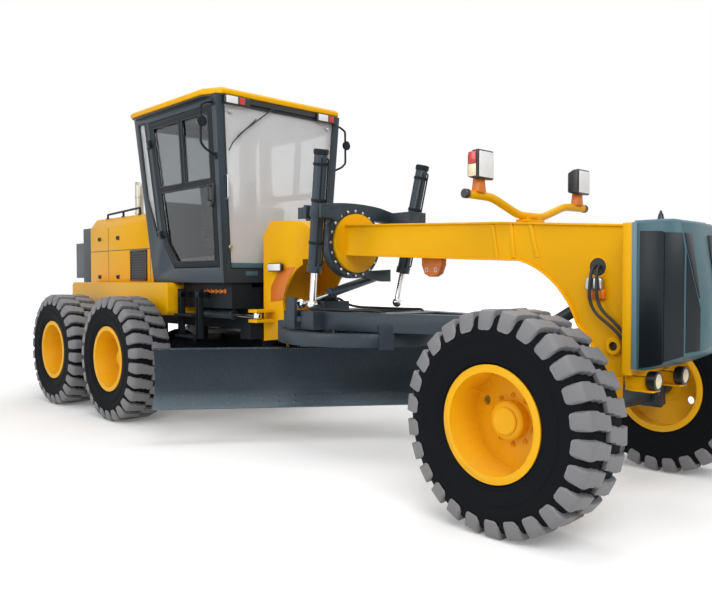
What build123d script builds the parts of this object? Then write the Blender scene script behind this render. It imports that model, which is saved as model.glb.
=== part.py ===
"""Motor grader with a centre hinge, a tandem rear drive and leaning front wheels.

Lengths are millimetres. X points forward, Y to the left and Z up. The model is
drawn with X = 0 at the middle of the tandem, Y = 0 on the machine's middle plane
and Z = 0 on the ground, and is written with its origin at the bottom centre of
the whole machine's box.
"""
from build123d import *
from dataclasses import dataclass
from math import atan2, cos, degrees, radians, sin
import os

# Clearances between pieces
FIT = 0.3  # round faces of two pieces that turn or slide on each other
JOINT_GAP = 6.0  # open space beside a moving piece
PANEL_GAP = 8.0  # round a door in its frame

# Running gear
TYRE_R = 670.0
TYRE_W = 445.0
TREAD_DEPTH = 32.0
RIM_SEAT_R = 318.0
RIM_LIP_R = 350.0
RIM_W = 400.0
RIM_WALL = 14.0
TRACK = 2155.0
WHEELBASE = 5900.0
TANDEM_SPACING = 1538.0
AXLE_Z = TYRE_R

# Rear frame
RAIL_IN = 220.0
RAIL_OUT = 340.0
RAIL_Z0 = 1000.0
RAIL_Z1 = 1300.0
RAIL_BACK = -1900.0
HITCH_FACE_X = 2085.0
HITCH_BACK_X = 1900.0
HITCH_Z0 = 900.0
HITCH_Z1 = 1440.0
DECK_Z = 1490.0
TANK_BACK = -1450.0
TANK_FRONT = 1130.0
TANK_OUT = 760.0
TANK_Z0 = 1130.0
CAB_BASE_OUT = 560.0
CAB_BASE_Z0 = 1225.0
CAB_BASE_FRONT = 2085.0

# Centre hinge
HINGE_X = 2200.0
HINGE_R = 95.0
HINGE_PIN_R = 42.0
HINGE_PLATE = 50.0
HINGE_UPPER_Z = 1330.0
HINGE_LOWER_Z = 950.0

# Hood
HOOD_BACK = -1540.0
HOOD_FRONT = 560.0
HOOD_OUT = 470.0
HOOD_WALL = 12.0
HOOD_Z = 2250.0
HOOD_CROWN = 90.0
COWL_BACK = -2200.0
COWL_STEP_X = -1850.0

# Cab
CAB_Z0 = DECK_Z
CAB_Z1 = 3340.0
CAB_WALL = 50.0
CAB_FRONT_X0 = 2120.0
CAB_FRONT_X1 = 2185.0
CAB_BACK_X0 = 660.0
CAB_BACK_X1 = 460.0
CAB_OUT0 = 675.0
CAB_OUT1 = 795.0
CAB_FLOOR = 60.0
GLASS = 8.0
DOOR_Z0 = 1650.0
DOOR_Z1 = 3245.0

# Front frame
RING_Z = 1860.0
UPRIGHT_X0 = 2310.0
UPRIGHT_OUT = 330.0
PLATE = 25.0
BEAM_OUT = 155.0
BEAM_BACK = 3360.0
NOSE_X = WHEELBASE + 307
NOSE_PLATE = 64.0

# Drawbar, circle and blade
BALL_X = WHEELBASE - 110
BALL_Z = 1355.0
BALL_R = 70.0
CIRCLE_X = 3460.0
CIRCLE_R = 780.0
CIRCLE_IN_R = 640.0
TOOTH_COUNT = 64
TOOTH_DEPTH = 20.0
CIRCLE_Z0 = 950.0
CIRCLE_Z1 = 1060.0
DRAWBAR_Z0 = 1075.0
DRAWBAR_Z1 = 1230.0
BLADE_ANGLE = 37.3
BLADE_LENGTH = 3658.0
BLADE_R = 415.0
BLADE_ARC = 610.0
BLADE_THICK = 22.0
BLADE_Z0 = 321.0
BLADE_BACK = 74.9  # cutting edge behind the circle's centre
BLADE_SHIFT = -118.2  # blade's middle along the blade, towards the left


def box(x0, x1, y0, y1, z0, z1):
    """A box between its limits."""
    centre = Pos((x0 + x1) / 2, (y0 + y1) / 2, (z0 + z1) / 2)
    return centre * Box(abs(x1 - x0), abs(y1 - y0), abs(z1 - z0))


def outline(*points):
    """A flat face through its corners."""
    return make_face(Polyline(*points, close=True))


def across(face, y0, y1):
    """A face drawn in X and Z, as a solid between two Y values."""
    return extrude(Plane.XZ.offset(-max(y0, y1)) * face, amount=abs(y1 - y0))


def upward(face, z0, z1):
    """A face drawn in X and Y, as a solid from z0 to z1."""
    return extrude(Plane.XY.offset(z0) * face, amount=z1 - z0)


def along(face, x0, x1):
    """A face drawn in Y and Z, as a solid from x0 to x1."""
    return extrude(Plane.YZ.offset(x0) * face, amount=x1 - x0)


def bar(start, end, radius):
    """A round bar between two points."""
    run = Vector(*end) - Vector(*start)
    return extrude(Plane(origin=start, z_dir=run) * Circle(radius), amount=run.length)


def pipe(points, radius, bend):
    """A round tube along straight runs with rounded corners."""
    path = FilletPolyline(*points, radius=bend)
    return sweep(Plane(origin=path @ 0, z_dir=path % 0) * Circle(radius), path=path)


def turned(profile):
    """A profile drawn as (radius, y), turned about the Y axis."""
    return revolve(outline(*profile), axis=Axis.Y)


def mirrored(shape):
    """The same shape on the other side of the machine."""
    return mirror(shape, about=Plane.XZ)


def both(shape):
    """A shape and its mirror image."""
    return shape + mirrored(shape)


# Wheels
LUG_COUNT = 26
LUG_W = 118.0
LUG_ROW_DROP = 3.0  # the half-pitch row stands lower, so that one lug rests flat
SHOULDER_R = 575.0
RIM_FLANGE = 14.0
BULGE_R = 430.0
DISC_Y = -35.0
DISC_T = 22.0
HUB_R = 118.0
HUB_IN_Y = -62.0
HUB_OUT_Y = 45.0
SPINDLE_R = 55.0
SPINDLE_END_Y = 5.0
HAND_HOLE_R = 30.0
HAND_HOLE_PCD = 225.0


def lug_row(top, side, first_angle):
    """One side's row of lugs, each wrapped over the shoulder of the tyre."""
    half = TYRE_W / 2
    base = TYRE_R - TREAD_DEPTH
    section = outline(
        (0, base - 25),
        (0, top),
        (side * (half - 38), top),
        (side * (half - 12), top - 24),
        (side * half, SHOULDER_R),
        (side * (half - 60), SHOULDER_R),
    )
    lug = along(section, -LUG_W / 2, LUG_W / 2)
    step = 360 / LUG_COUNT
    return [Rot(Y=180 + first_angle + k * step) * lug for k in range(LUG_COUNT)]


def tyre():
    half = TYRE_W / 2
    base = TYRE_R - TREAD_DEPTH
    seat = RIM_SEAT_R + FIT
    bead = RIM_W / 2 - RIM_FLANGE - FIT
    right_side = [
        (seat, bead),
        (RIM_LIP_R + 6, bead),
        (BULGE_R, half - 4),
        (SHOULDER_R - 30, half - 4),
        (base, half - 40),
    ]
    left_side = [(radius, -y) for radius, y in reversed(right_side)]
    carcass = turned(right_side + left_side)
    lugs = lug_row(TYRE_R, 1, 0) + lug_row(TYRE_R - LUG_ROW_DROP, -1, 180 / LUG_COUNT)
    return carcass + lugs


def rim():
    lip = RIM_W / 2
    flange = lip - RIM_FLANGE
    inner = RIM_SEAT_R - RIM_WALL
    shell = turned(
        [
            (inner, -lip),
            (RIM_LIP_R, -lip),
            (RIM_LIP_R, -flange),
            (RIM_SEAT_R, -flange),
            (RIM_SEAT_R, flange),
            (RIM_LIP_R, flange),
            (RIM_LIP_R, lip),
            (inner, lip),
        ]
    )
    disc = turned(
        [
            (0, DISC_Y - DISC_T),
            (HUB_R + 60, DISC_Y - DISC_T),
            (inner + 1, DISC_Y - DISC_T - 25),
            (inner + 1, DISC_Y - 25),
            (HUB_R + 60, DISC_Y),
            (0, DISC_Y),
        ]
    )
    hub = turned(
        [(0, HUB_IN_Y), (HUB_R, HUB_IN_Y), (HUB_R, HUB_OUT_Y - 15), (HUB_R - 20, HUB_OUT_Y), (0, HUB_OUT_Y)]
    )
    bore_r = SPINDLE_R + FIT
    bore_end = SPINDLE_END_Y + 2
    bore = turned([(0, HUB_IN_Y - 1), (bore_r, HUB_IN_Y - 1), (bore_r, bore_end), (0, bore_end)])
    hole = Rot(X=90) * Cylinder(HAND_HOLE_R, 200)
    holes = [Rot(Y=angle) * Pos(HAND_HOLE_PCD, DISC_Y, 0) * hole for angle in (25, 205)]
    return shell + disc + hub - bore - holes


# Tandem drive
CASE_IN = 600.0
CASE_OUT = 790.0
CASE_R = 190.0
DRUM_R = 150.0
DRUM_OUT = 1000.0
AXLE_TUBE_R = 150.0
DIFF_R = 235.0

TOW_PIN_R = 26.0
TOW_PIN_BACK = 75.0
TOW_LOW = 60.0
TOW_HIGH = 120.0
REAR_PLATE_T = 20.0
REAR_BOLT_R = 11.0
REAR_BOLT_Y = 340.0
REAR_BOLT_Z = 120.0
REAR_BOLT_MID_Z = 1200.0


def wheel_places():
    """Each wheel's name, X and side; the left side is +1."""
    half = TANDEM_SPACING / 2
    stations = [("rear", -half), ("mid", half), ("front", WHEELBASE)]
    sides = [("left", 1), ("right", -1)]
    return [(f"{place}_{side}", x, sign) for place, x in stations for side, sign in sides]


def placed_wheel(shape, x, sign):
    """A wheel piece drawn for the left side, at its place."""
    turned_out = shape if sign > 0 else mirrored(shape)
    return Pos(x, sign * TRACK / 2, AXLE_Z) * turned_out


def tandem_axle():
    tube = bar((0, -CASE_IN, AXLE_Z), (0, CASE_IN, AXLE_Z), AXLE_TUBE_R)
    middle = Pos(0, 0, AXLE_Z) * Sphere(DIFF_R)
    shape = tube + middle
    half = TANDEM_SPACING / 2
    case = across(Pos(0, AXLE_Z) * SlotCenterToCenter(TANDEM_SPACING, 2 * CASE_R), CASE_IN, CASE_OUT)
    shape += both(case)
    for x in (-half, half):
        drum = bar((x, CASE_OUT, AXLE_Z), (x, DRUM_OUT, AXLE_Z), DRUM_R)
        spindle = bar((x, DRUM_OUT, AXLE_Z), (x, TRACK / 2 + SPINDLE_END_Y, AXLE_Z), SPINDLE_R)
        shape += both(drum + spindle)
    seat = box(-130, 130, RAIL_IN, RAIL_OUT, AXLE_Z, RAIL_Z0)
    return shape + both(seat)


def rear_frame():
    rail = box(RAIL_BACK, HITCH_FACE_X, RAIL_IN, RAIL_OUT, RAIL_Z0, RAIL_Z1)
    shape = both(rail)
    for x in (RAIL_BACK, TANK_BACK + 100, -250, 700):
        shape += box(x, x + 120, -RAIL_OUT, RAIL_OUT, RAIL_Z0, RAIL_Z0 + 60)
    shape += box(HITCH_BACK_X, HITCH_FACE_X, -RAIL_OUT, RAIL_OUT, HITCH_Z0, HITCH_Z1)
    for z in (HINGE_UPPER_Z, HINGE_LOWER_Z):
        ear = box(HITCH_FACE_X, HINGE_X, -HINGE_R, HINGE_R, z, z + HINGE_PLATE)
        ear += Pos(HINGE_X, 0, z + HINGE_PLATE / 2) * Cylinder(HINGE_R, HINGE_PLATE)
        ear -= Pos(HINGE_X, 0, z + HINGE_PLATE / 2) * Cylinder(HINGE_PIN_R + FIT, HINGE_PLATE + 2)
        shape += ear
    base = box(TANK_FRONT, CAB_BASE_FRONT, RAIL_OUT - 20, CAB_BASE_OUT, CAB_BASE_Z0, DECK_Z)
    shape += both(base)
    base_x, base_y, base_z = ARTIC.base
    for z in (base_z - ARTIC.eye_half - 32, base_z + ARTIC.eye_half + 2):
        shape += both(box(base_x - 60, base_x + ARTIC.back - END_GAP, RAIL_OUT, base_y + 50, z, z + 30))
    shape += both(Pos(base_x, base_y, base_z) * Cylinder(ARTIC.pin_r, 2 * ARTIC.eye_half + 60))
    tow = box(RAIL_BACK - 130, RAIL_BACK, -90, 90, RAIL_Z0 - TOW_LOW, RAIL_Z0 + TOW_HIGH)
    tow -= box(RAIL_BACK - 140, RAIL_BACK - 25, -100, 100, RAIL_Z0, RAIL_Z0 + 60)
    tow -= Pos(RAIL_BACK - TOW_PIN_BACK, 0, RAIL_Z0) * Cylinder(TOW_PIN_R, 400)
    plate = box(RAIL_BACK - REAR_PLATE_T, RAIL_BACK, -RAIL_OUT, RAIL_OUT, RAIL_Z0 - 60, RAIL_Z1)
    for y in (-REAR_BOLT_Y / 2, REAR_BOLT_Y / 2):
        for z in (REAR_BOLT_MID_Z - REAR_BOLT_Z / 2, REAR_BOLT_MID_Z + REAR_BOLT_Z / 2):
            plate -= bar((RAIL_BACK - REAR_PLATE_T - 1, y, z), (RAIL_BACK + 1, y, z), REAR_BOLT_R)
    return shape + plate + tow


# Hydraulic cylinders
END_GAP = 8.0  # beside a rod's end, in the fork that it works in


@dataclass
class Ram:
    """A hydraulic cylinder from its base pin to its rod's eye."""

    base: tuple
    eye: tuple
    pin: tuple  # direction of the pins
    barrel_r: float
    rod_r: float
    back: float  # barrel's back end, from the base pin
    gland: float  # barrel's front end, from the base pin
    rod_length: float
    eye_r: float
    eye_half: float  # half the eye's width
    pin_r: float

    def plane(self, origin):
        run = Vector(*self.eye) - Vector(*self.base)
        return Plane(origin=origin, z_dir=run, x_dir=Vector(*self.pin))

    def length(self):
        return (Vector(*self.eye) - Vector(*self.base)).length

    def barrel(self, trunnion=0.0):
        """The barrel, on an eye at its base or on two trunnion pins."""
        shape = Pos(0, 0, (self.back + self.gland) / 2) * Cylinder(self.barrel_r, self.gland - self.back)
        shape += Pos(0, 0, self.gland - self.barrel_r / 2) * Cylinder(1.15 * self.barrel_r, self.barrel_r)
        if trunnion:
            shape += Cylinder(1.2 * self.barrel_r, 1.6 * self.barrel_r)
        else:
            neck = Pos(0, 0, self.back / 2 + 2) * Box(2 * self.eye_half, 1.4 * self.eye_r, self.back + 4)
            shape += Rot(Y=90) * Cylinder(self.eye_r, 2 * self.eye_half) + neck
            shape -= Rot(Y=90) * Cylinder(self.pin_r + FIT, 4 * self.eye_half)
        inner_end = self.length() - self.rod_length
        start = max(self.back + 12, inner_end - 400)
        bore = Pos(0, 0, (start + self.gland + 1) / 2) * Cylinder(self.rod_r + FIT, self.gland + 1 - start)
        if not trunnion:
            return self.plane(self.base) * (shape - bore)
        x, y, z = self.base
        pins = bar((x - trunnion, y, z), (x + trunnion, y, z), self.pin_r)
        return self.plane(self.base) * shape + pins - self.plane(self.base) * bore

    def rod(self, ball=False):
        """The rod, ending in a flat eye or in a ball."""
        shape = Pos(0, 0, -self.rod_length / 2) * Cylinder(self.rod_r, self.rod_length)
        if ball:
            shape += Sphere(self.eye_r)
        else:
            shape += Rot(Y=90) * Cylinder(self.eye_r, 2 * self.eye_half)
        return self.plane(self.eye) * shape


STEER_X = WHEELBASE - 156
ARTIC = Ram((1350, 455, 1160), (2420, 480, 1160), (0, 0, 1), 45, 25, 50, 640, 780, 44, 26, 22)
LIFT_SWING_GAP = 20.0  # beside a lift ram's barrel, which swings with the drawbar
LIFT = Ram((3505, 600, 2110), (3350, 540, 1295), (1, 0, 0), 58, 30, -535, 535, 700, 48, 26, 30)
SHIFT = Ram((3165, 480, 1560), (3165, -520, 1300), (1, 0, 0), 42, 24, 50, 690, 690, 46, 26, 22)
LEAN = Ram((WHEELBASE, 170, 800), (WHEELBASE, 600, 865), (1, 0, 0), 30, 15, 35, 290, 300, 27, 14, 13)
STEER = Ram((STEER_X, -150, 660), (STEER_X, -920, 660), (1, 0, 0), 30, 15, 35, 485, 500, 24, 14, 13)


# Hood, cowl, engine and exhaust
EXHAUST_X = -1050.0
EXHAUST_R = 55.0
LOUVRE_COUNT = 8
LOUVRE_Z = 1560.0
LOUVRE_PITCH = 36.0
LOUVRE_GAP = 16.0
LOUVRE_X0 = -330.0
LOUVRE_X1 = 60.0


def hood():
    half = HOOD_OUT
    crown = HOOD_Z + HOOD_CROWN
    shoulder = HOOD_Z - 40
    section = outline((-half, DECK_Z), (half, DECK_Z), (half, shoulder), (half - 90, crown),
                      (-half + 90, crown), (-half, shoulder))
    back, front = HOOD_BACK + HOOD_WALL, HOOD_FRONT - HOOD_WALL
    solid = along(section, HOOD_BACK, HOOD_FRONT) - along(offset(section, -HOOD_WALL), back, front)
    solid -= box(back, front, -half + HOOD_WALL, half - HOOD_WALL, DECK_Z - 5, DECK_Z + 60)
    solid -= Pos(EXHAUST_X, 0, HOOD_Z + HOOD_CROWN) * Cylinder(EXHAUST_R + 12, 100)
    for k in range(LOUVRE_COUNT):
        z = LOUVRE_Z + k * LOUVRE_PITCH
        solid -= box(LOUVRE_X0, LOUVRE_X1, -half - 5, half + 5, z, z + LOUVRE_GAP)
    return solid


def exhaust_stack():
    base_z = 1950.0
    top_z = 2860.0
    pipe_up = Pos(EXHAUST_X, 0, (base_z + top_z) / 2) * Cylinder(EXHAUST_R, top_z - base_z)
    cut = Pos(EXHAUST_X, 0, top_z) * Rot(Y=35) * Box(400, 300, 120)
    bore = Pos(EXHAUST_X, 0, top_z - 150) * Cylinder(EXHAUST_R - 6, 320)
    return pipe_up - Pos(0, 0, 40) * cut - bore


def engine_block():
    return box(-1300, -200, -RAIL_IN + JOINT_GAP, RAIL_IN - JOINT_GAP, RAIL_Z0 + 60, 1950)


def rear_cowl():
    lower = box(HOOD_BACK, COWL_STEP_X, -440, 440, RAIL_Z1, 2230)
    outer = box(COWL_STEP_X, COWL_BACK, -400, 400, 1550, 2040)
    shape = lower + outer
    shape -= box(HOOD_BACK - 1, COWL_STEP_X + 40, -400, 400, DECK_Z, 2190)
    shape -= box(COWL_STEP_X + 60, COWL_BACK + 30, -360, 360, 1590, 2000)
    for k in range(9):
        z = 1610 + k * 44
        shape -= box(COWL_BACK - 1, COWL_BACK + 31, -340, 340, z, z + 24)
    return shape


def side_tanks():
    face = outline((TANK_BACK, TANK_Z0), (TANK_FRONT, TANK_Z0), (TANK_FRONT, DECK_Z), (TANK_BACK, DECK_Z))
    face = fillet(face.vertices(), 60)
    return both(across(face, RAIL_OUT, TANK_OUT))


# Cab
def cab_block(inset, z0, z1):
    """The cab's leaning block between two heights, drawn in by a wall's thickness."""

    def at(z):
        t = (z - CAB_Z0) / (CAB_Z1 - CAB_Z0)
        back = CAB_BACK_X0 + t * (CAB_BACK_X1 - CAB_BACK_X0) + inset
        front = CAB_FRONT_X0 + t * (CAB_FRONT_X1 - CAB_FRONT_X0) - inset
        half = CAB_OUT0 + t * (CAB_OUT1 - CAB_OUT0) - inset
        corners = [(back, -half), (front, -half), (front, half), (back, half)]
        return Plane.XY.offset(z) * outline(*corners)

    return loft([at(z0), at(z1)], ruled=True)


def side_x(z, low_x, high_x):
    """An X that leans as the cab's back pillar does."""
    t = (z - CAB_Z0) / (CAB_Z1 - CAB_Z0)
    return low_x + t * (high_x - low_x)


PILLAR_X0 = 1010.0
PILLAR_X1 = 790.0
DOOR_FRONT0 = 2060.0
DOOR_FRONT1 = 2085.0
DOOR_CUT_Z = 1900.0
DOOR_CUT_X = 170.0


def door_outline(grow):
    """The door's edge seen from the side, moved out by a distance."""
    z0 = DOOR_Z0 - grow
    z1 = DOOR_Z1 + grow
    points = [
        (side_x(z1, PILLAR_X0, PILLAR_X1) - grow, z1),
        (side_x(DOOR_CUT_Z, PILLAR_X0, PILLAR_X1) - grow, DOOR_CUT_Z),
        (side_x(z0, PILLAR_X0, PILLAR_X1) + DOOR_CUT_X - grow, z0),
        (DOOR_FRONT0 + grow, z0),
        (DOOR_FRONT1 + grow, z1),
    ]
    return outline(*points)


def door_windows():
    """The door's lower pane and its two upper panes."""
    mid = 2490.0
    lower = outline(
        (side_x(mid, PILLAR_X0, PILLAR_X1) + 80, mid - 20),
        (side_x(DOOR_CUT_Z, PILLAR_X0, PILLAR_X1) + 80, DOOR_CUT_Z + 20),
        (side_x(DOOR_Z0, PILLAR_X0, PILLAR_X1) + DOOR_CUT_X + 70, DOOR_Z0 + 60),
        (DOOR_FRONT0 - 70, DOOR_Z0 + 60),
        (DOOR_FRONT0 - 58, mid - 20),
    )
    back = outline(
        (side_x(mid, PILLAR_X0, PILLAR_X1) + 80, mid + 40),
        (1440, mid + 40),
        (1440, DOOR_Z1 - 70),
        (side_x(DOOR_Z1 - 70, PILLAR_X0, PILLAR_X1) + 80, DOOR_Z1 - 70),
    )
    front = outline(
        (1500, mid + 40),
        (DOOR_FRONT0 - 58, mid + 40),
        (DOOR_FRONT0 - 46, DOOR_Z1 - 70),
        (1500, DOOR_Z1 - 70),
    )
    return [lower, back, front]


def quarter_window():
    """The fixed pane between the back pillar and the cab's back corner."""
    z0 = 1990.0
    z1 = 3260.0
    back = 85.0
    front = -95.0
    return outline(
        (side_x(2440, CAB_BACK_X0, CAB_BACK_X1) + back, 2440),
        (side_x(z0, PILLAR_X0, PILLAR_X1) + front - 30, z0),
        (side_x(z0, PILLAR_X0, PILLAR_X1) + front, z0),
        (side_x(z1, PILLAR_X0, PILLAR_X1) + front, z1),
        (side_x(z1, CAB_BACK_X0, CAB_BACK_X1) + back, z1),
    )


def wall_skin(thick, depth):
    """The cab's four walls from a depth under their outer face."""
    return cab_block(depth, CAB_Z0, CAB_Z1) - cab_block(depth + thick, CAB_Z0 - 1, CAB_Z1 + 1)


HINGE_OUT = 25.0  # door's axis outside the cab's skin
DOOR_PIN_R = 8.0
DOOR_BARREL_R = 16.0
DOOR_BARREL = 50.0
DOOR_HINGE_Z = (2020.0, 3020.0)


def hinge_plane(z):
    """The left door's hinge at a height: local X forward, Y outward, Z up along the axis."""
    t = (z - CAB_Z0) / (CAB_Z1 - CAB_Z0)
    half = CAB_OUT0 + t * (CAB_OUT1 - CAB_OUT0)
    height = CAB_Z1 - CAB_Z0
    rise = Vector(PILLAR_X1 - PILLAR_X0, CAB_OUT1 - CAB_OUT0, height)
    on_skin = Vector(side_x(z, PILLAR_X0, PILLAR_X1) - PANEL_GAP / 2, half, z)
    out = Vector(0, height, CAB_OUT0 - CAB_OUT1).normalized()
    return Plane(origin=on_skin + out * HINGE_OUT, x_dir=out.cross(rise), z_dir=rise)


def hinge_brackets():
    """The cab's brackets and pins for the left door."""
    half = DOOR_BARREL / 2
    plate = box(-75, -DOOR_BARREL_R - 4, -HINGE_OUT - 3, -HINGE_OUT + 11, -half - 16, half + 16)
    bracket = plate + Cylinder(DOOR_PIN_R, DOOR_BARREL + 32)
    for z in (-half - 16, half + 1):
        bracket += box(-60, 9, -HINGE_OUT + 9, 9, z, z + 15)
    return hinge_plane(DOOR_HINGE_Z[0]) * bracket + hinge_plane(DOOR_HINGE_Z[1]) * bracket


def door_straps():
    half = DOOR_BARREL / 2
    strap = box(4 + PANEL_GAP / 2, 90, -HINGE_OUT - 3, -HINGE_OUT + 11, -half, half)
    strap += box(0, 24, -HINGE_OUT + 1, -HINGE_OUT + 15, -half, half) + Cylinder(DOOR_BARREL_R, DOOR_BARREL)
    strap -= Cylinder(DOOR_PIN_R + FIT, DOOR_BARREL + 4)
    return hinge_plane(DOOR_HINGE_Z[0]) * strap + hinge_plane(DOOR_HINGE_Z[1]) * strap


def cab_shell():
    shape = cab_block(0, CAB_Z0, CAB_Z1) - cab_block(CAB_WALL, CAB_Z0 + CAB_FLOOR, CAB_Z1 + 1)
    for face in [door_outline(PANEL_GAP), quarter_window()]:
        shape -= across(face, -CAB_OUT1 - 100, CAB_OUT1 + 100)
    shape -= along(windscreen(), CAB_FRONT_X0 - 200, CAB_FRONT_X1 + 50)
    shape -= along(back_window(), CAB_BACK_X1 - 50, CAB_BACK_X0 + 200)
    return shape + both(hinge_brackets())


def windscreen():
    """The opening in the front wall."""
    return outline((-600, 1640), (600, 1640), (705, 3260), (-705, 3260))


def back_window():
    return outline((-560, 2420), (560, 2420), (600, 3240), (-600, 3240))


def pane(face):
    """A window's glass, a little smaller than its opening."""
    return offset(face, -FIT, kind=Kind.INTERSECTION)


def cab_glass():
    skin = wall_skin(GLASS, 20)
    panes = across(pane(quarter_window()), -CAB_OUT1 - 100, CAB_OUT1 + 100)
    panes += along(pane(windscreen()), CAB_FRONT_X0 - 200, CAB_FRONT_X1 + 50)
    panes += along(pane(back_window()), CAB_BACK_X1 - 50, CAB_BACK_X0 + 200)
    return skin & panes


def door(side):
    skin = wall_skin(CAB_WALL - 10, 0)
    solid = skin & across(door_outline(0), side * 300, side * 1000)
    for window in door_windows():
        solid -= across(window, side * 300, side * 1000)
    straps = door_straps()
    return solid + (straps if side > 0 else mirrored(straps))


def door_glass(side):
    skin = wall_skin(GLASS, 18)
    panes = [across(pane(window), side * 300, side * 1000) for window in door_windows()]
    return skin & (panes[0] + panes[1] + panes[2])


def cab_roof():
    face = outline((490, -855), (2010, -855), (2225, -745), (2225, 745), (2010, 855), (490, 855))
    slab = upward(face, CAB_Z1, CAB_Z1 + 65)
    edge = slab.edges().group_by(Axis.Z)[-1]
    return chamfer(edge, 24)


SEAT_X = 1185.0
WHEEL_X = 1760.0
CONSOLE_TILT = -25.0


def operator_seat():
    floor = CAB_Z0 + CAB_FLOOR
    pedestal = box(SEAT_X - 185, SEAT_X + 155, -170, 170, floor, floor + 330)
    cushion = fillet(box(SEAT_X - 255, SEAT_X + 255, -250, 250, floor + 330, floor + 450).edges(), 30)
    back = Pos(SEAT_X - 245, 0, floor + 800) * Rot(Y=-10) * Box(110, 480, 760)
    return pedestal + cushion + back


def steering_console():
    floor = CAB_Z0 + CAB_FLOOR
    foot = box(1860, 2010, -110, 110, floor, floor + 40)
    column = bar((1940, 0, floor + 25), (WHEEL_X + 20, 0, floor + 760), 60)
    wheel = Pos(WHEEL_X, 0, floor + 800) * Rot(Y=CONSOLE_TILT)
    hoop = wheel * Torus(190, 16) + wheel * Box(30, 380, 20)
    boxes = both(box(WHEEL_X - 60, WHEEL_X + 100, 150, 260, floor + 560, floor + 760))
    beam = box(WHEEL_X, WHEEL_X + 70, -260, 260, floor + 560, floor + 620)
    return foot + column + hoop + boxes + beam


LADDER_POSTS = (1270.0, 1640.0)
LADDER_HALF = 30.0  # half a post's width
LADDER_OUT = 700.0
LADDER_Z0 = 905.0
LADDER_STEPS = (905.0, 1130.0)


def ladders():
    back, front = LADDER_POSTS
    shape = Part()
    for x in LADDER_POSTS:
        x0, x1 = x - LADDER_HALF, x + LADDER_HALF
        shape += box(x0, x1, LADDER_OUT - 60, LADDER_OUT, LADDER_Z0, CAB_BASE_Z0 + 200)
        shape += box(x0, x1, CAB_BASE_OUT, LADDER_OUT, 1330, 1390)
    for z in LADDER_STEPS:
        shape += box(back, front, LADDER_OUT - 80, LADDER_OUT + 60, z, z + 30)
    return both(shape)


def mirrors():
    """Mirrors on bent stays, each a hair off the cab's side."""
    top = (2120, 793, 3240)
    low = (2120, 757 + FIT, 2740)
    stay = pipe([top, (2120, 930, 3240), (2150, 940, 3000), (2120, 930, 2740), low], 12, 60)
    glass_back = box(2135, 2170, 850, 1010, 2860, 3180)
    return both(stay + glass_back)


# Front frame
NECK_R = 255.0
RING_X0 = 3225.0
RING_X1 = 3325.0
RING_R = 330.0
COLLAR_R = 275.0
COLLAR_T = 40.0
TRUNNION_OUT = 120.0
EAR_T = 30.0
AXLE_EAR_BACK = WHEELBASE - 108
AXLE_EAR_FRONT = WHEELBASE + 108
AXLE_EAR_T = 27.0
AXLE_PIN_R = 35.0


def beam_face():
    """The beam and gooseneck from the side."""
    back = BEAM_BACK - 20
    knee = (WHEELBASE - 100, 1200)
    belly = (WHEELBASE - 583, 1653)
    top = Polyline((back, 2030), (WHEELBASE - 767, 1954), (NOSE_X, 1878), (NOSE_X, 870),
                   (WHEELBASE + 60, 870), (WHEELBASE + 47, 1020), knee)
    curve = ThreePointArc(knee, (WHEELBASE - 298, 1498), belly)
    rest = Polyline(belly, (back + 396, 1724), (back, 1745), (back, 2030))
    return make_face([top, curve, rest])


def upright_face():
    """The side plate of the frame's back end."""
    back = UPRIGHT_X0
    front = RING_X0 - 60
    lower = Polyline((2630, 1299), (2655, 1146), (2655, 1000), (2600, 935), (back, 900), (back, 1971),
                     (2440, 2105), (2895, 2078), (3060, 1960), (front, 1960), (front, 1735), (3076, 1721))
    curve = ThreePointArc((3076, 1721), (2785, 1565), (2630, 1299))
    return make_face([lower, curve])


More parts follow.
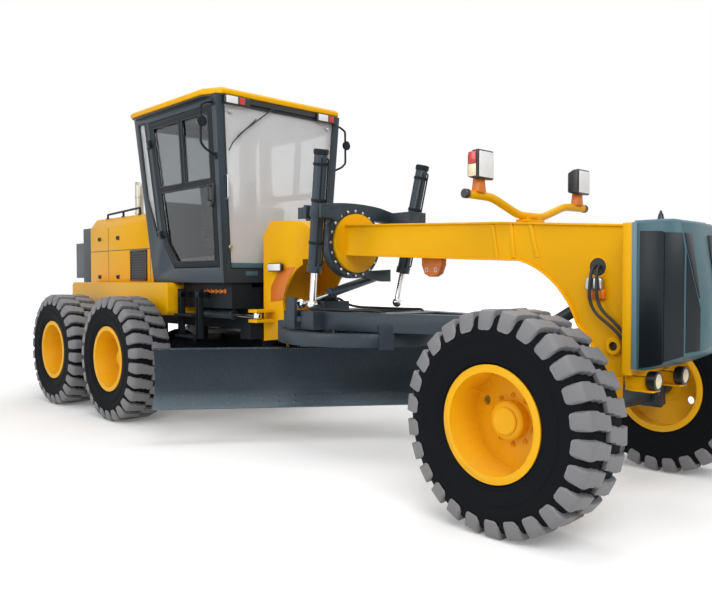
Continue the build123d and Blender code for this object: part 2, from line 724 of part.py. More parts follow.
def front_frame():
    plan = outline((UPRIGHT_X0, -UPRIGHT_OUT), (2850, -UPRIGHT_OUT), (RING_X0, -190), (RING_X0, 190),
                   (2850, UPRIGHT_OUT), (UPRIGHT_X0, UPRIGHT_OUT))
    shape = across(upright_face(), -UPRIGHT_OUT, UPRIGHT_OUT) & upward(plan, 700, 2300)
    pocket = outline((2430, 1190), (2430, 1560), (2560, 1715), (3250, 1715), (3250, 900), (2900, 900),
                     (2900, 1190))
    shape -= across(pocket, -UPRIGHT_OUT + PLATE, UPRIGHT_OUT - PLATE)
    shape += bar((3120, 0, RING_Z), (RING_X1 + JOINT_GAP, 0, RING_Z), NECK_R)
    shape += bar((RING_X1 + FIT, 0, RING_Z), (RING_X1 + COLLAR_T, 0, RING_Z), COLLAR_R)
    shape += across(beam_face(), -BEAM_OUT, BEAM_OUT)
    shape += box(NOSE_X, NOSE_X + NOSE_PLATE, -290, 290, 900, 1878)
    for z in (HINGE_UPPER_Z, HINGE_LOWER_Z):
        for low in (z - HINGE_PLATE - JOINT_GAP, z + HINGE_PLATE + JOINT_GAP):
            shape += box(HINGE_X, UPRIGHT_X0 + 10, -HINGE_R, HINGE_R, low, low + HINGE_PLATE)
            shape += Pos(HINGE_X, 0, low + HINGE_PLATE / 2) * Cylinder(HINGE_R, HINGE_PLATE)
        pin_length = 3 * HINGE_PLATE + 2 * JOINT_GAP
        shape += Pos(HINGE_X, 0, z + HINGE_PLATE / 2) * Cylinder(HINGE_PIN_R, pin_length)
    eye_x, eye_y, eye_z = ARTIC.eye
    for z in (eye_z - ARTIC.eye_half - END_GAP - 30, eye_z + ARTIC.eye_half + END_GAP):
        shape += both(box(eye_x - 75, eye_x + 75, UPRIGHT_OUT - 5, eye_y + 60, z, z + 30))
    bracket = box(AXLE_EAR_BACK, NOSE_X, -110, 110, 860, 960)
    ears = box(AXLE_EAR_BACK, AXLE_EAR_BACK + AXLE_EAR_T, -110, 110, 590, 960)
    ears += box(AXLE_EAR_FRONT - AXLE_EAR_T, AXLE_EAR_FRONT, -110, 110, 590, 960)
    shape += bracket + ears + bar((AXLE_EAR_BACK, 0, AXLE_Z), (AXLE_EAR_FRONT, 0, AXLE_Z), AXLE_PIN_R)
    shape -= Pos(BALL_X, 0, BALL_Z) * Sphere(BALL_R + FIT)
    shape -= bar((BALL_X, 0, BALL_Z), (BALL_X - 310, 0, BALL_Z - 175), 64)
    return shape


def saddle():
    ring = bar((RING_X0, 0, RING_Z), (RING_X1, 0, RING_Z), RING_R)
    arch = make_face([
        Polyline((600, 2060), (600, 2160), (330, 2215)),
        ThreePointArc((330, 2215), (0, 2235), (-330, 2215)),
        Polyline((-330, 2215), (-600, 2160), (-600, 2060), (-250, 2090)),
        ThreePointArc((-250, 2090), (0, 2135), (250, 2090)),
        Line((250, 2090), (600, 2060)),
    ])
    shape = ring + along(arch, RING_X0, RING_X1)
    base_x, base_y, base_z = LIFT.base
    reach = LIFT.barrel_r * 1.2 + LIFT_SWING_GAP
    for side in (1, -1):
        inner = base_y - reach
        shape += box(RING_X0, base_x + TRUNNION_OUT, side * 430, side * inner, base_z - 60, base_z + 60)
        for x in (base_x - TRUNNION_OUT, base_x + TRUNNION_OUT - EAR_T):
            shape += box(x, x + EAR_T, side * 500, side * (base_y + 60), base_z - 60, base_z + 60)
            shape -= bar((x - 5, side * base_y, base_z), (x + 40, side * base_y, base_z), LIFT.pin_r + FIT)
    low_x, low_y, low_z = SHIFT.base
    lug = outline((150, 1600), (low_y + 55, low_z + 60), (low_y + 55, low_z - 60), (low_y - 60, low_z - 60),
                  (120, 1545))
    shape += along(lug, RING_X0, RING_X0 + 40)
    shape += bar((low_x - SHIFT.eye_half - 14, low_y, low_z), (RING_X0 + 10, low_y, low_z), SHIFT.pin_r)
    return shape - bar((RING_X0 - 5, 0, RING_Z), (RING_X1 + 5, 0, RING_Z), NECK_R + FIT)


LAMP_BAR_X = WHEELBASE - 600
LAMP_BAR_Z = 1946.0


def lamp_bar():
    x = LAMP_BAR_X
    left_half = [(x, 760, 2100), (x, 474, 2100), (x, 170, 2000)]
    right_half = [(x, -y, z) for x, y, z in reversed(left_half)]
    shape = pipe(left_half + right_half, 30, 120)
    shape += both(box(x - 25, x + 25, 640, 700, 2110, 2230) + box(x - 70, x + 30, 560, 760, 2230, 2420))
    return shape + box(x - 50, x + 50, -120, 120, LAMP_BAR_Z, 2010)


BOX_FRONT = 780.0  # box's foremost point, ahead of the front axle


def front_box():
    back = NOSE_X + NOSE_PLATE
    front = WHEELBASE + BOX_FRONT
    side = outline((back, 939), (back + 90, 939), (front - 30, 1060), (front, 1110), (front - 110, 1860),
                   (front - 130, 1880), (back, 1880))
    plan = outline((back, -290), (front - 200, -290), (front - 90, -230), (front - 20, -110), (front, 0),
                   (front - 20, 110), (front - 90, 230), (front - 200, 290), (back, 290))
    return across(side, -300, 300) & upward(plan, 800, 2000)


# Front axle, leaning yokes and steering
AXLE_HALF_X = 75.0
AXLE_HALF_Z = 75.0
LEAN_Y = 650.0
LEAN_PIN_R = 32.0
KING_Y = 900.0
KING_PIN_R = 22.0
YOKE_X = 110.0  # half the yoke, over its cheeks
CHEEK_T = 29.0
YOKE_WALL_X = 95.0
YOKE_WALL_T = 24.0
YOKE_GAP = 98.0
YOKE_ARM = 35.0
LEAN_BAR = (WHEELBASE - 138, LEAN_Y, 865.0)
LEAN_BAR_R = 22.0
TIE_ARM = 215.0  # the ball behind the kingpin
TIE_Z = 560.0
TIE_BALL_R = 22.0
TIE_SEAT_GAP = 1.1  # round the right ball, which rises and falls a little as the wheels lean
TIE_STUD_R = 14.0
TIE_PLAY = 17.0  # the right socket's slot, for the wheels' lean
STEER_SEAT_GAP = 30.0  # the steering ram's ball rises under its arm as the wheels lean
ARM_Z = 600.0
ARM_T = 25.0
ARM_HALF = 22.0


def front_axle():
    back, front = WHEELBASE - AXLE_HALF_X, WHEELBASE + AXLE_HALF_X
    body = box(back, front, -LEAN_Y, LEAN_Y, AXLE_Z - AXLE_HALF_Z, AXLE_Z + AXLE_HALF_Z)
    for y in (LEAN_Y, -LEAN_Y):
        body += bar((back, y, AXLE_Z), (front, y, AXLE_Z), AXLE_HALF_Z)
        body += bar((WHEELBASE - YOKE_X - 5, y, AXLE_Z), (WHEELBASE + YOKE_X + 5, y, AXLE_Z), LEAN_PIN_R)
    body -= bar((back - 5, 0, AXLE_Z), (front + 5, 0, AXLE_Z), AXLE_PIN_R + FIT)
    x, y, z = LEAN.base
    for sign in (-1, 1):
        near = x + sign * (LEAN.eye_half + 2)
        body += box(near, near + sign * 14, y - 35, y + LEAN.back - END_GAP, AXLE_Z + AXLE_HALF_Z - 5, z + 25)
    body += bar((x - 30, y, z), (x + 30, y, z), LEAN.pin_r)
    x, y, z = STEER.base
    body += box(x + STEER.eye_half + 2, back + 5, y - STEER.back + END_GAP, y + 35, z - 25, z + 30)
    body += bar((x - STEER.eye_half - 8, y, z), (x + 40, y, z), STEER.pin_r)
    return body


def lean_yoke():
    """The left yoke: cheeks on the lean pin, a fork for the kingpin and the lugs on top."""
    bar_x, bar_y, bar_z = LEAN_BAR
    wall_y = LEAN_Y + AXLE_HALF_Z + JOINT_GAP
    fork = YOKE_GAP + YOKE_ARM
    cheek = outline((LEAN_Y - 45, AXLE_Z - 55), (wall_y, AXLE_Z - 120), (wall_y + 14, AXLE_Z - 120),
                    (wall_y + 14, bar_z + 20), (LEAN_Y, bar_z + 20), (LEAN_Y - 45, AXLE_Z + 60))
    back, front = WHEELBASE - YOKE_WALL_X, WHEELBASE + YOKE_WALL_X
    shape = box(back, front, wall_y, wall_y + YOKE_WALL_T, AXLE_Z - fork, AXLE_Z + fork)
    for x in (WHEELBASE - YOKE_X, WHEELBASE + YOKE_X - CHEEK_T):
        shape += along(cheek, x, x + CHEEK_T)
        shape -= bar((x - 1, LEAN_Y, AXLE_Z), (x + CHEEK_T + 1, LEAN_Y, AXLE_Z), LEAN_PIN_R + FIT)
    shape += box(WHEELBASE - YOKE_X, WHEELBASE + YOKE_X, LEAN_Y, wall_y + 14, AXLE_Z + 110, bar_z + 20)
    for z in (AXLE_Z - fork, AXLE_Z + YOKE_GAP):
        arm = box(WHEELBASE - 50, WHEELBASE + 50, wall_y + 5, KING_Y, z, z + YOKE_ARM)
        arm += Pos(WHEELBASE, KING_Y, z + YOKE_ARM / 2) * Cylinder(50, YOKE_ARM)
        arm -= Pos(WHEELBASE, KING_Y, z + YOKE_ARM / 2) * Cylinder(KING_PIN_R + FIT, YOKE_ARM + 4)
        shape += arm
    shape += box(WHEELBASE - YOKE_X, WHEELBASE - YOKE_X + CHEEK_T, bar_y - 35, wall_y, bar_z - 60, bar_z + 30)
    shape += bar((bar_x - LEAN_BAR_R, bar_y, bar_z), (WHEELBASE - YOKE_X + 10, bar_y, bar_z), 15)
    x, y, z = LEAN.eye
    for sign in (-1, 1):
        near = x + sign * (LEAN.eye_half + END_GAP)
        shape += box(near, near + sign * 16, y - 30, LEAN_Y + 5, z - 30, z + 20)
    return shape


def knuckle(side):
    """A steering knuckle, with its arm for the tie rod."""
    x0 = WHEELBASE
    trunk = Pos(x0, KING_Y, AXLE_Z) * Cylinder(48, 2 * (YOKE_GAP - 2))
    trunk += Pos(x0, KING_Y, AXLE_Z) * Cylinder(KING_PIN_R, 2 * (YOKE_GAP + YOKE_ARM) + 10)
    trunk += bar((x0, KING_Y, AXLE_Z), (x0, DRUM_OUT, AXLE_Z), 60)
    trunk += bar((x0, DRUM_OUT - 5, AXLE_Z), (x0, TRACK / 2 + SPINDLE_END_Y, AXLE_Z), SPINDLE_R)
    tie_x = x0 - TIE_ARM
    trunk += box(tie_x, x0, KING_Y - ARM_HALF, KING_Y + ARM_HALF, ARM_Z, ARM_Z + ARM_T)
    trunk += Pos(tie_x, KING_Y, ARM_Z + ARM_T / 2) * Cylinder(28, ARM_T)
    if side > 0:
        return trunk - Pos(tie_x, KING_Y, ARM_Z) * Cylinder(TIE_STUD_R + FIT, 80)
    trunk = mirrored(trunk)
    trunk += bar((tie_x, -KING_Y, TIE_Z), (tie_x, -KING_Y, ARM_Z + 5), 12)
    trunk += Pos(tie_x, -KING_Y, TIE_Z) * Sphere(TIE_BALL_R)
    x, y, z = STEER.eye
    top = z + STEER.eye_r + STEER_SEAT_GAP
    web = x + STEER.eye_r + 2 * END_GAP
    trunk += box(x - 25, web + 20, y - 25, y + 25, top, top + 16)
    trunk += box(web, web + 20, y - 25, y + 25, ARM_Z, top + 16)
    return trunk


def tie_rod_end():
    x = WHEELBASE - TIE_ARM
    top = ARM_Z + ARM_T + 10
    stem = bar((x, KING_Y, TIE_Z), (x, KING_Y, ARM_Z - 1), 12)
    stem += bar((x, KING_Y, ARM_Z - 3), (x, KING_Y, top), TIE_STUD_R)
    return stem + Pos(x, KING_Y, TIE_Z) * Sphere(TIE_BALL_R)


def tie_rod():
    x = WHEELBASE - TIE_ARM
    shape = bar((x, -KING_Y + 20, TIE_Z), (x, KING_Y - 20, TIE_Z), 20)
    for y in (-KING_Y, -KING_Y + TIE_PLAY, KING_Y):
        shape += Pos(x, y, TIE_Z - 3) * Cylinder(34, 50)
    shape += box(x - 34, x + 34, -KING_Y, -KING_Y + TIE_PLAY, TIE_Z - 28, TIE_Z + 22)
    seat_r = TIE_BALL_R + TIE_SEAT_GAP
    for y, radius in ((-KING_Y, seat_r), (-KING_Y + TIE_PLAY, seat_r), (KING_Y, TIE_BALL_R + FIT)):
        shape -= Pos(x, y, TIE_Z) * Sphere(radius)
        shape -= Pos(x, y, TIE_Z + 20) * Cone(14, 30, 28)
    shape -= bar((x, -KING_Y, TIE_Z), (x, -KING_Y + TIE_PLAY, TIE_Z), seat_r)
    return shape - box(x - 22, x + 22, -KING_Y, -KING_Y + TIE_PLAY, TIE_Z, TIE_Z + 40)


def lean_bar():
    x, y, z = LEAN_BAR
    shape = bar((x, -y, z), (x, y, z), LEAN_BAR_R)
    for end in (-y, y):
        shape += bar((x - 20, end, z), (x + 20, end, z), 30)
        shape -= bar((x - 30, end, z), (x + 30, end, z), 15 + FIT)
    return shape


# Drawbar, circle, blade
NECK = (-0.871, -0.492)  # the drawbar's neck leaves the ball backwards and down
TONGUE_R = 36.0
LIFT_SEAT_GAP = 12.0
SHIFT_SEAT_GAP = 39.0  # the ram's ball stands off here as the drawbar rises
SHOE_ANGLES = (30, 145, 215, 330)


def drawbar_ball():
    """A ball with an upright bore for the tongue, open at the back for its neck."""
    ball = Sphere(BALL_R) - Cylinder(TONGUE_R + FIT, 3 * BALL_R) - box(-2 * BALL_R, 0, -29, 29, -BALL_R, BALL_R)
    return Pos(BALL_X, 0, BALL_Z) * ball


DRAWBAR_BACK = 2850.0
DRAWBAR_OUT = 480.0
PINION_R = 68.0


def drawbar():
    plate = across(outline((0, -38), (0, 38), (-130, 38), (-130, -38)), -20, 20)
    tongue = Cylinder(TONGUE_R, 100) + Rot(Y=-degrees(atan2(-NECK[1], -NECK[0]))) * plate
    shape = Pos(BALL_X, 0, BALL_Z) * tongue
    start = (BALL_X + 105 * NECK[0], 0, BALL_Z + 105 * NECK[1])
    end = (BALL_X + 400 * NECK[0], 0, BALL_Z + 400 * NECK[1])
    shape += bar(start, end, 45)
    front = BALL_X - 290
    half = DRAWBAR_OUT
    wide = CIRCLE_X + 340
    reach = front - wide
    narrow, window_front, window_back = (wide + share * reach for share in (0.853, 0.676, 0.206))
    plan = outline((front, -70), (front, 70), (narrow, 90), (wide, half), (DRAWBAR_BACK, half),
                   (DRAWBAR_BACK, -half), (wide, -half), (narrow, -90))
    frame = upward(plan, DRAWBAR_Z0, DRAWBAR_Z1)
    window = outline((window_front, -25), (window_front, 25), (window_back, 230), (window_back, -230))
    frame -= upward(window, 1000, 1300)
    shape += frame - box(3150, 3900, -300, 300, 1000, 1300)
    eye_x, eye_y, eye_z = LIFT.eye
    pad_z = eye_z - LIFT.eye_r - LIFT_SEAT_GAP
    shape += both(box(eye_x - 90, eye_x + 90, 400, eye_y + 60, DRAWBAR_Z0, pad_z))
    x, y, z = SHIFT.eye
    plate_y = y - SHIFT.eye_r - SHIFT_SEAT_GAP
    shape -= box(x - 125, x + 95, plate_y, y + 135, z - 125, z + 100)
    shape += box(x - 70, x + 50, plate_y - 30, plate_y, DRAWBAR_Z0, z + 60)
    shape += box(x - 70, x + 50, plate_y - 30, -440, DRAWBAR_Z0, DRAWBAR_Z0 + 60)
    shape += box(DRAWBAR_BACK + 10, DRAWBAR_BACK + 210, -160, 160, DRAWBAR_Z1, DRAWBAR_Z1 + 80)
    pinion_x = CIRCLE_X - CIRCLE_IN_R + TOOTH_DEPTH + PINION_R + JOINT_GAP
    shape += Pos(pinion_x, 0, (CIRCLE_Z0 + DRAWBAR_Z0) / 2 + 5) * Cylinder(PINION_R, DRAWBAR_Z0 - CIRCLE_Z0)
    for angle in SHOE_ANGLES:
        block = box(CIRCLE_R + 3, CIRCLE_R + 50, -60, 60, CIRCLE_Z0 - 16, DRAWBAR_Z0 + 5)
        block += box(CIRCLE_R - 40, CIRCLE_R + 50, -60, 60, CIRCLE_Z0 - 16, CIRCLE_Z0 - FIT)
        block += box(CIRCLE_R - 40, CIRCLE_R + 50, -60, 60, CIRCLE_Z1 + 2, DRAWBAR_Z0 + 5)
        block += box(CIRCLE_R - 230, CIRCLE_R + 50, -60, 60, DRAWBAR_Z0, DRAWBAR_Z0 + 60)
        shape += Pos(CIRCLE_X, 0, 0) * Rot(Z=angle) * block
    return shape


SKEW = (-0.2, 0.2, -0.2, 0.2)  # of a quarter pitch, so that a tooth is narrower at its tip


def tooth_ring():
    """The circle's face with its inner teeth."""
    corners = []
    for k in range(4 * TOOTH_COUNT):
        root = k % 4 in (0, 3)
        radius = CIRCLE_IN_R if root else CIRCLE_IN_R - TOOTH_DEPTH
        angle = radians((k + SKEW[k % 4]) * 90 / TOOTH_COUNT)
        corners.append((radius * cos(angle), radius * sin(angle)))
    return Circle(CIRCLE_R) - outline(*corners)


def circle():
    ring = upward(tooth_ring(), CIRCLE_Z0, CIRCLE_Z1)
    return Pos(CIRCLE_X, 0, 0) * ring + blade_arms()


BLADE_PITCH = 8.0
EDGE_ARC = 150.0
EDGE_DROP = 36.0
EDGE_T = 16.0
RAIL_LOW = 22.0
RAIL_HIGH = 62.0
SLIDE_T = 50.0
SLIDE_H = 40.0
ARM_U = 560.0
BRACKET_HALF = 35.0
PIVOT_ANGLE = 28.0
PIVOT_R = BLADE_R + 130
RAM_ANGLE = 42.0
RAM_R = BLADE_R + 65
SHIFT_LUG_U = -1500.0
SHIFT_ROD = 1765.0
SHIFT_ROD_R = 20.0
SHIFT_BARREL_U = (-330.0, 950.0)
SHIFT_BARREL_R = 36.0
RAIL_SHORT = 120.0
PIN_R = 25.0

BLADE_CHORD = 2 * BLADE_R * sin(BLADE_ARC / BLADE_R / 2)
BLADE_SPAN = degrees(BLADE_ARC / BLADE_R)
BLADE_DEPTH = BLADE_R * cos(BLADE_ARC / BLADE_R / 2)
BLADE_LEAN = radians(BLADE_PITCH)
ARC_V = BLADE_BACK + sin(BLADE_LEAN) * BLADE_CHORD / 2 - cos(BLADE_LEAN) * BLADE_DEPTH
ARC_Z = BLADE_Z0 + cos(BLADE_LEAN) * BLADE_CHORD / 2 + sin(BLADE_LEAN) * BLADE_DEPTH
ARC_START = degrees(atan2(BLADE_Z0 - ARC_Z, BLADE_BACK - ARC_V))
BLADE_RUN = (sin(radians(BLADE_ANGLE)), cos(radians(BLADE_ANGLE)), 0)
BLADE_PLANE = Plane(origin=(CIRCLE_X, 0, 0), x_dir=BLADE_RUN, z_dir=(0, 0, 1))


def arc_point(radius, angle):
    """A point behind the blade, by its distance from the blade's centre of curvature."""
    turn = radians(ARC_START + angle)
    return (ARC_V + radius * cos(turn), ARC_Z + radius * sin(turn))


def sector(r0, r1, a0, a1):
    mid = (a0 + a1) / 2
    return make_face([
        ThreePointArc(arc_point(r0, a0), arc_point(r0, mid), arc_point(r0, a1)),
        Line(arc_point(r0, a1), arc_point(r1, a1)),
        ThreePointArc(arc_point(r1, a1), arc_point(r1, mid), arc_point(r1, a0)),
        Line(arc_point(r1, a0), arc_point(r0, a0)),
    ])


def slide_face(angle, grow):
    v, z = arc_point(BLADE_R + BLADE_THICK + SLIDE_T / 2 - 2, angle)
    return Pos(v, z) * Rot(Z=ARC_START + angle) * Rectangle(SLIDE_T + 2 * grow, SLIDE_H + 2 * grow)


def moldboard():
    """The curved plate with its slide rails and shift rod, and the cutting edge a hair in front."""
    half = BLADE_LENGTH / 2
    drop = degrees(EDGE_DROP / BLADE_R)
    plate = along(sector(BLADE_R, BLADE_R + BLADE_THICK, drop, BLADE_SPAN), -half, half)
    for angle in (RAIL_LOW, RAIL_HIGH):
        plate += along(slide_face(angle, 0.0), -half + RAIL_SHORT, half - RAIL_SHORT)
    lug = sector(BLADE_R + BLADE_THICK - 2, RAM_R + 35, RAM_ANGLE - 5, RAM_ANGLE + 5)
    plate += along(lug, SHIFT_LUG_U - 40, SHIFT_LUG_U)
    v, z = arc_point(RAM_R, RAM_ANGLE)
    plate += bar((SHIFT_LUG_U - 5, v, z), (SHIFT_LUG_U + SHIFT_ROD, v, z), SHIFT_ROD_R)
    edge = along(sector(BLADE_R - EDGE_T, BLADE_R - FIT, 0, degrees(EDGE_ARC / BLADE_R)), -half, half)
    return BLADE_PLANE * Pos(BLADE_SHIFT, 0, 0) * Compound([plate, edge])


def tilt_brackets():
    shape = Part()
    inner = BLADE_R + BLADE_THICK + 6
    for u in (-ARM_U, ARM_U):
        piece = along(sector(inner, PIVOT_R + 20, 14, 72), u - BRACKET_HALF, u + BRACKET_HALF)
        v, z = arc_point(PIVOT_R, PIVOT_ANGLE)
        piece -= bar((u - 60, v, z), (u + 60, v, z), PIN_R + FIT)
        shape += piece
    for angle in (RAIL_LOW, RAIL_HIGH):
        shape -= along(slide_face(angle, 1.5), -900, 900)
    v, z = arc_point(RAM_R, RAM_ANGLE)
    shape -= bar((-ARM_U - 50, v, z), (-ARM_U + 50, v, z), SHIFT_ROD_R + JOINT_GAP)
    u0, u1 = SHIFT_BARREL_U
    shape += bar((u0, v, z), (u1, v, z), SHIFT_BARREL_R)
    shape -= bar((u0 - 1, v, z), (u1 - 15, v, z), SHIFT_ROD_R + FIT)
    return BLADE_PLANE * shape


def blade_arms():
    v, z = pivot = arc_point(PIVOT_R, PIVOT_ANGLE)
    side = outline((290, CIRCLE_Z0), (395, CIRCLE_Z0), (395, 900), (v + 127, 850), (v + 127, z + 86),
                   (v + 52, z - 42), (v - 45, z - 42), (v - 45, z + 21), (v + 27, z + 86), (v + 27, 880),
                   (290, 925))
    shape = Part()
    for u in (-ARM_U, ARM_U):
        near = BRACKET_HALF + 3
        piece = along(side, u - near - 22, u - near) + along(side, u + near, u + near + 22)
        piece += box(u - near - 22, u + near + 22, v + 97, v + 127, z + 86, 850)
        piece += box(u - near - 22, u + near + 22, 300, 390, 925, CIRCLE_Z0)
        piece += bar((u - near - 10, *pivot), (u + near + 10, *pivot), PIN_R)
        shape += piece
    return BLADE_PLANE * shape


def nodes():
    """Each node's name and shape."""
    table = {}
    wheel_tyre = tyre()
    wheel_rim = rim()
    for name, x, sign in wheel_places():
        table[f"tyre_{name}"] = placed_wheel(wheel_tyre, x, sign)
        table[f"rim_{name}"] = placed_wheel(wheel_rim, x, sign)
    table["rear_frame"] = rear_frame()
    table["tandem_axle"] = tandem_axle()
    table["side_tanks"] = side_tanks()
    table["engine_block"] = engine_block()
    table["hood"] = hood()
    table["rear_cowl"] = rear_cowl()
    table["exhaust_stack"] = exhaust_stack()
    table["cab_shell"] = cab_shell()
    table["cab_roof"] = cab_roof()
    table["cab_glass"] = cab_glass()
    table["operator_seat"] = operator_seat()
    table["steering_console"] = steering_console()
    table["steps_and_mirrors"] = ladders() + mirrors()
    for name, side in (("left", 1), ("right", -1)):
        table[f"door_{name}"] = door(side)
        table[f"door_glass_{name}"] = door_glass(side)
    table["front_frame"] = front_frame()
    table["saddle"] = saddle()
    table["lamp_bar"] = lamp_bar()
    table["front_box"] = front_box()
    table["front_axle"] = front_axle()
    yoke = lean_yoke()
    table["lean_yoke_left"] = yoke
    table["lean_yoke_right"] = mirrored(yoke)
    table["knuckle_left"] = knuckle(1)
    table["knuckle_right"] = knuckle(-1)
    table["lean_bar"] = lean_bar()
    table["tie_rod_end"] = tie_rod_end()
    table["tie_rod"] = tie_rod()
    for name, ram, trunnion, ball in (("articulation", ARTIC, 0, False), ("lift", LIFT, TRUNNION_OUT, True)):
        barrel, rod = ram.barrel(trunnion), ram.rod(ball)
        table[f"{name}_barrel_left"] = barrel
        table[f"{name}_barrel_right"] = mirrored(barrel)
        table[f"{name}_rod_left"] = rod
        table[f"{name}_rod_right"] = mirrored(rod)
    for name, ram, ball in (("centre_shift", SHIFT, True), ("lean", LEAN, False), ("steering", STEER, True)):
        table[f"{name}_barrel"] = ram.barrel()
        table[f"{name}_rod"] = ram.rod(ball)
    table["drawbar_ball"] = drawbar_ball()
    table["drawbar"] = drawbar()
    table["circle"] = circle()
    table["tilt_brackets"] = tilt_brackets()
    table["moldboard"] = moldboard()
    return table


def main():
    table = nodes()
    boxes = [shape.bounding_box() for shape in table.values()]
    middle_x = (min(b.min.X for b in boxes) + max(b.max.X for b in boxes)) / 2
    os.makedirs("parts", exist_ok=True)
    for name, shape in table.items():
        export_step(Pos(-middle_x, 0, 0) * shape, f"parts/{name}.step")


if __name__ == "__main__":
    main()
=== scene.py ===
"""Motor grader dressed for its picture, laid out as an add-on and run as a script.

Places are written in millimetres as on the machine's drawing, with X from the
tandem's middle, Y to the left and Z from the ground, and at() turns them to
metres in the frame's own axes.
"""

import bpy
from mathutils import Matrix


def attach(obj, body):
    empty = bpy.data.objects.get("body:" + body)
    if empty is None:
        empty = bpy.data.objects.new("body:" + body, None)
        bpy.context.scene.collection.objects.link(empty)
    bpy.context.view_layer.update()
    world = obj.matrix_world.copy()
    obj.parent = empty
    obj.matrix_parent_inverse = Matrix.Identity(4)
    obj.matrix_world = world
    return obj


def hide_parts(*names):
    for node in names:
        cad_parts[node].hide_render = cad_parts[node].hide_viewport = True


bl_info = {
    "name": "Motor Grader",
    "version": (1, 0, 0),
    "blender": (4, 5, 0),
    "location": "View3D > Sidebar > Grader",
    "description": "Dresses a motor grader's frame with its finishes and visible pieces",
    "category": "Add Mesh",
}

import math

import bmesh
import bpy
from mathutils import Matrix, Quaternion, Vector

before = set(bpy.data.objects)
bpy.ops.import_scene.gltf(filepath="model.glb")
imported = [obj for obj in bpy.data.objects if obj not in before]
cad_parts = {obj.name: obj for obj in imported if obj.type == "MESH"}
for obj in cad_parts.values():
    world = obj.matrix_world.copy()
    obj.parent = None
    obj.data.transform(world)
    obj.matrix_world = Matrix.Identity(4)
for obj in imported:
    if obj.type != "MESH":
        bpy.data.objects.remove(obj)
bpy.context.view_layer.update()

MM = 0.001
DRAWING_X = 2240.0  # the drawing's X at the frame's origin
AXLE_Z = 670.0
WHEEL_Y = 1077.5
TANDEM_X = 769.0
FRONT_X = 5900.0
SIDES = (("left", 1), ("right", -1))
STATIONS = (("rear", -TANDEM_X), ("mid", TANDEM_X), ("front", FRONT_X))


def at(x, y, z):
    """A place on the machine's drawing, in metres."""
    return Vector(((x - DRAWING_X) * MM, y * MM, z * MM))


# Finishes


def new_group(name, inputs, outputs):
    """An empty shader node group, with the sockets inside it."""
    tree = bpy.data.node_groups.new(name, "ShaderNodeTree")
    for socket, kind, value in inputs:
        made = tree.interface.new_socket(name=socket, in_out="INPUT", socket_type=f"NodeSocket{kind}")
        made.default_value = value
    for socket, kind in outputs:
        tree.interface.new_socket(name=socket, in_out="OUTPUT", socket_type=f"NodeSocket{kind}")
    return tree, tree.nodes.new("NodeGroupInput").outputs, tree.nodes.new("NodeGroupOutput").inputs


def add_node(tree, kind, links=(), **values):
    """A node with its settings, its input values and the sockets that feed it."""
    made = tree.nodes.new(f"ShaderNode{kind}")
    for key, value in values.items():
        setattr(made, key, value)
    for socket, source in dict(links).items():
        if isinstance(source, bpy.types.NodeSocket):
            tree.links.new(source, made.inputs[socket])
        else:
            made.inputs[socket].default_value = source
    return made


def mix_colours(tree, factor, first, second):
    return add_node(tree, "Mix", {0: factor, 6: first, 7: second}, data_type="RGBA").outputs[2]


def maths(tree, operation, first, second):
    return add_node(tree, "Math", {0: first, 1: second}, operation=operation).outputs[0]


def place_of(tree):
    """Object coordinates, which are the frame's own metres."""
    return add_node(tree, "TexCoord").outputs["Object"]


def upward_part(tree, vector):
    return add_node(tree, "SeparateXYZ", {0: vector}).outputs["Z"]


def noise(tree, place, scale, detail, roughness=0.5):
    links = {"Vector": place, "Scale": scale, "Detail": detail, "Roughness": roughness}
    return add_node(tree, "TexNoise", links).outputs["Fac"]


def remap(tree, value, low, high, to_low=0.0, to_high=1.0):
    links = {"Value": value, "From Min": low, "From Max": high, "To Min": to_low, "To Max": to_high}
    return add_node(tree, "MapRange", links).outputs[0]


def seen_directly(tree):
    """1 for what the camera, a window or a reflection sees, and 0 for light that falls on something."""
    rays = add_node(tree, "LightPath").outputs
    seen = maths(tree, "MAXIMUM", rays["Is Camera Ray"], rays["Is Transmission Ray"])
    return maths(tree, "MAXIMUM", seen, rays["Is Glossy Ray"])


GREY = (0.8, 0.8, 0.8, 1)
DUST_COLOUR = (0.42, 0.37, 0.30, 1)


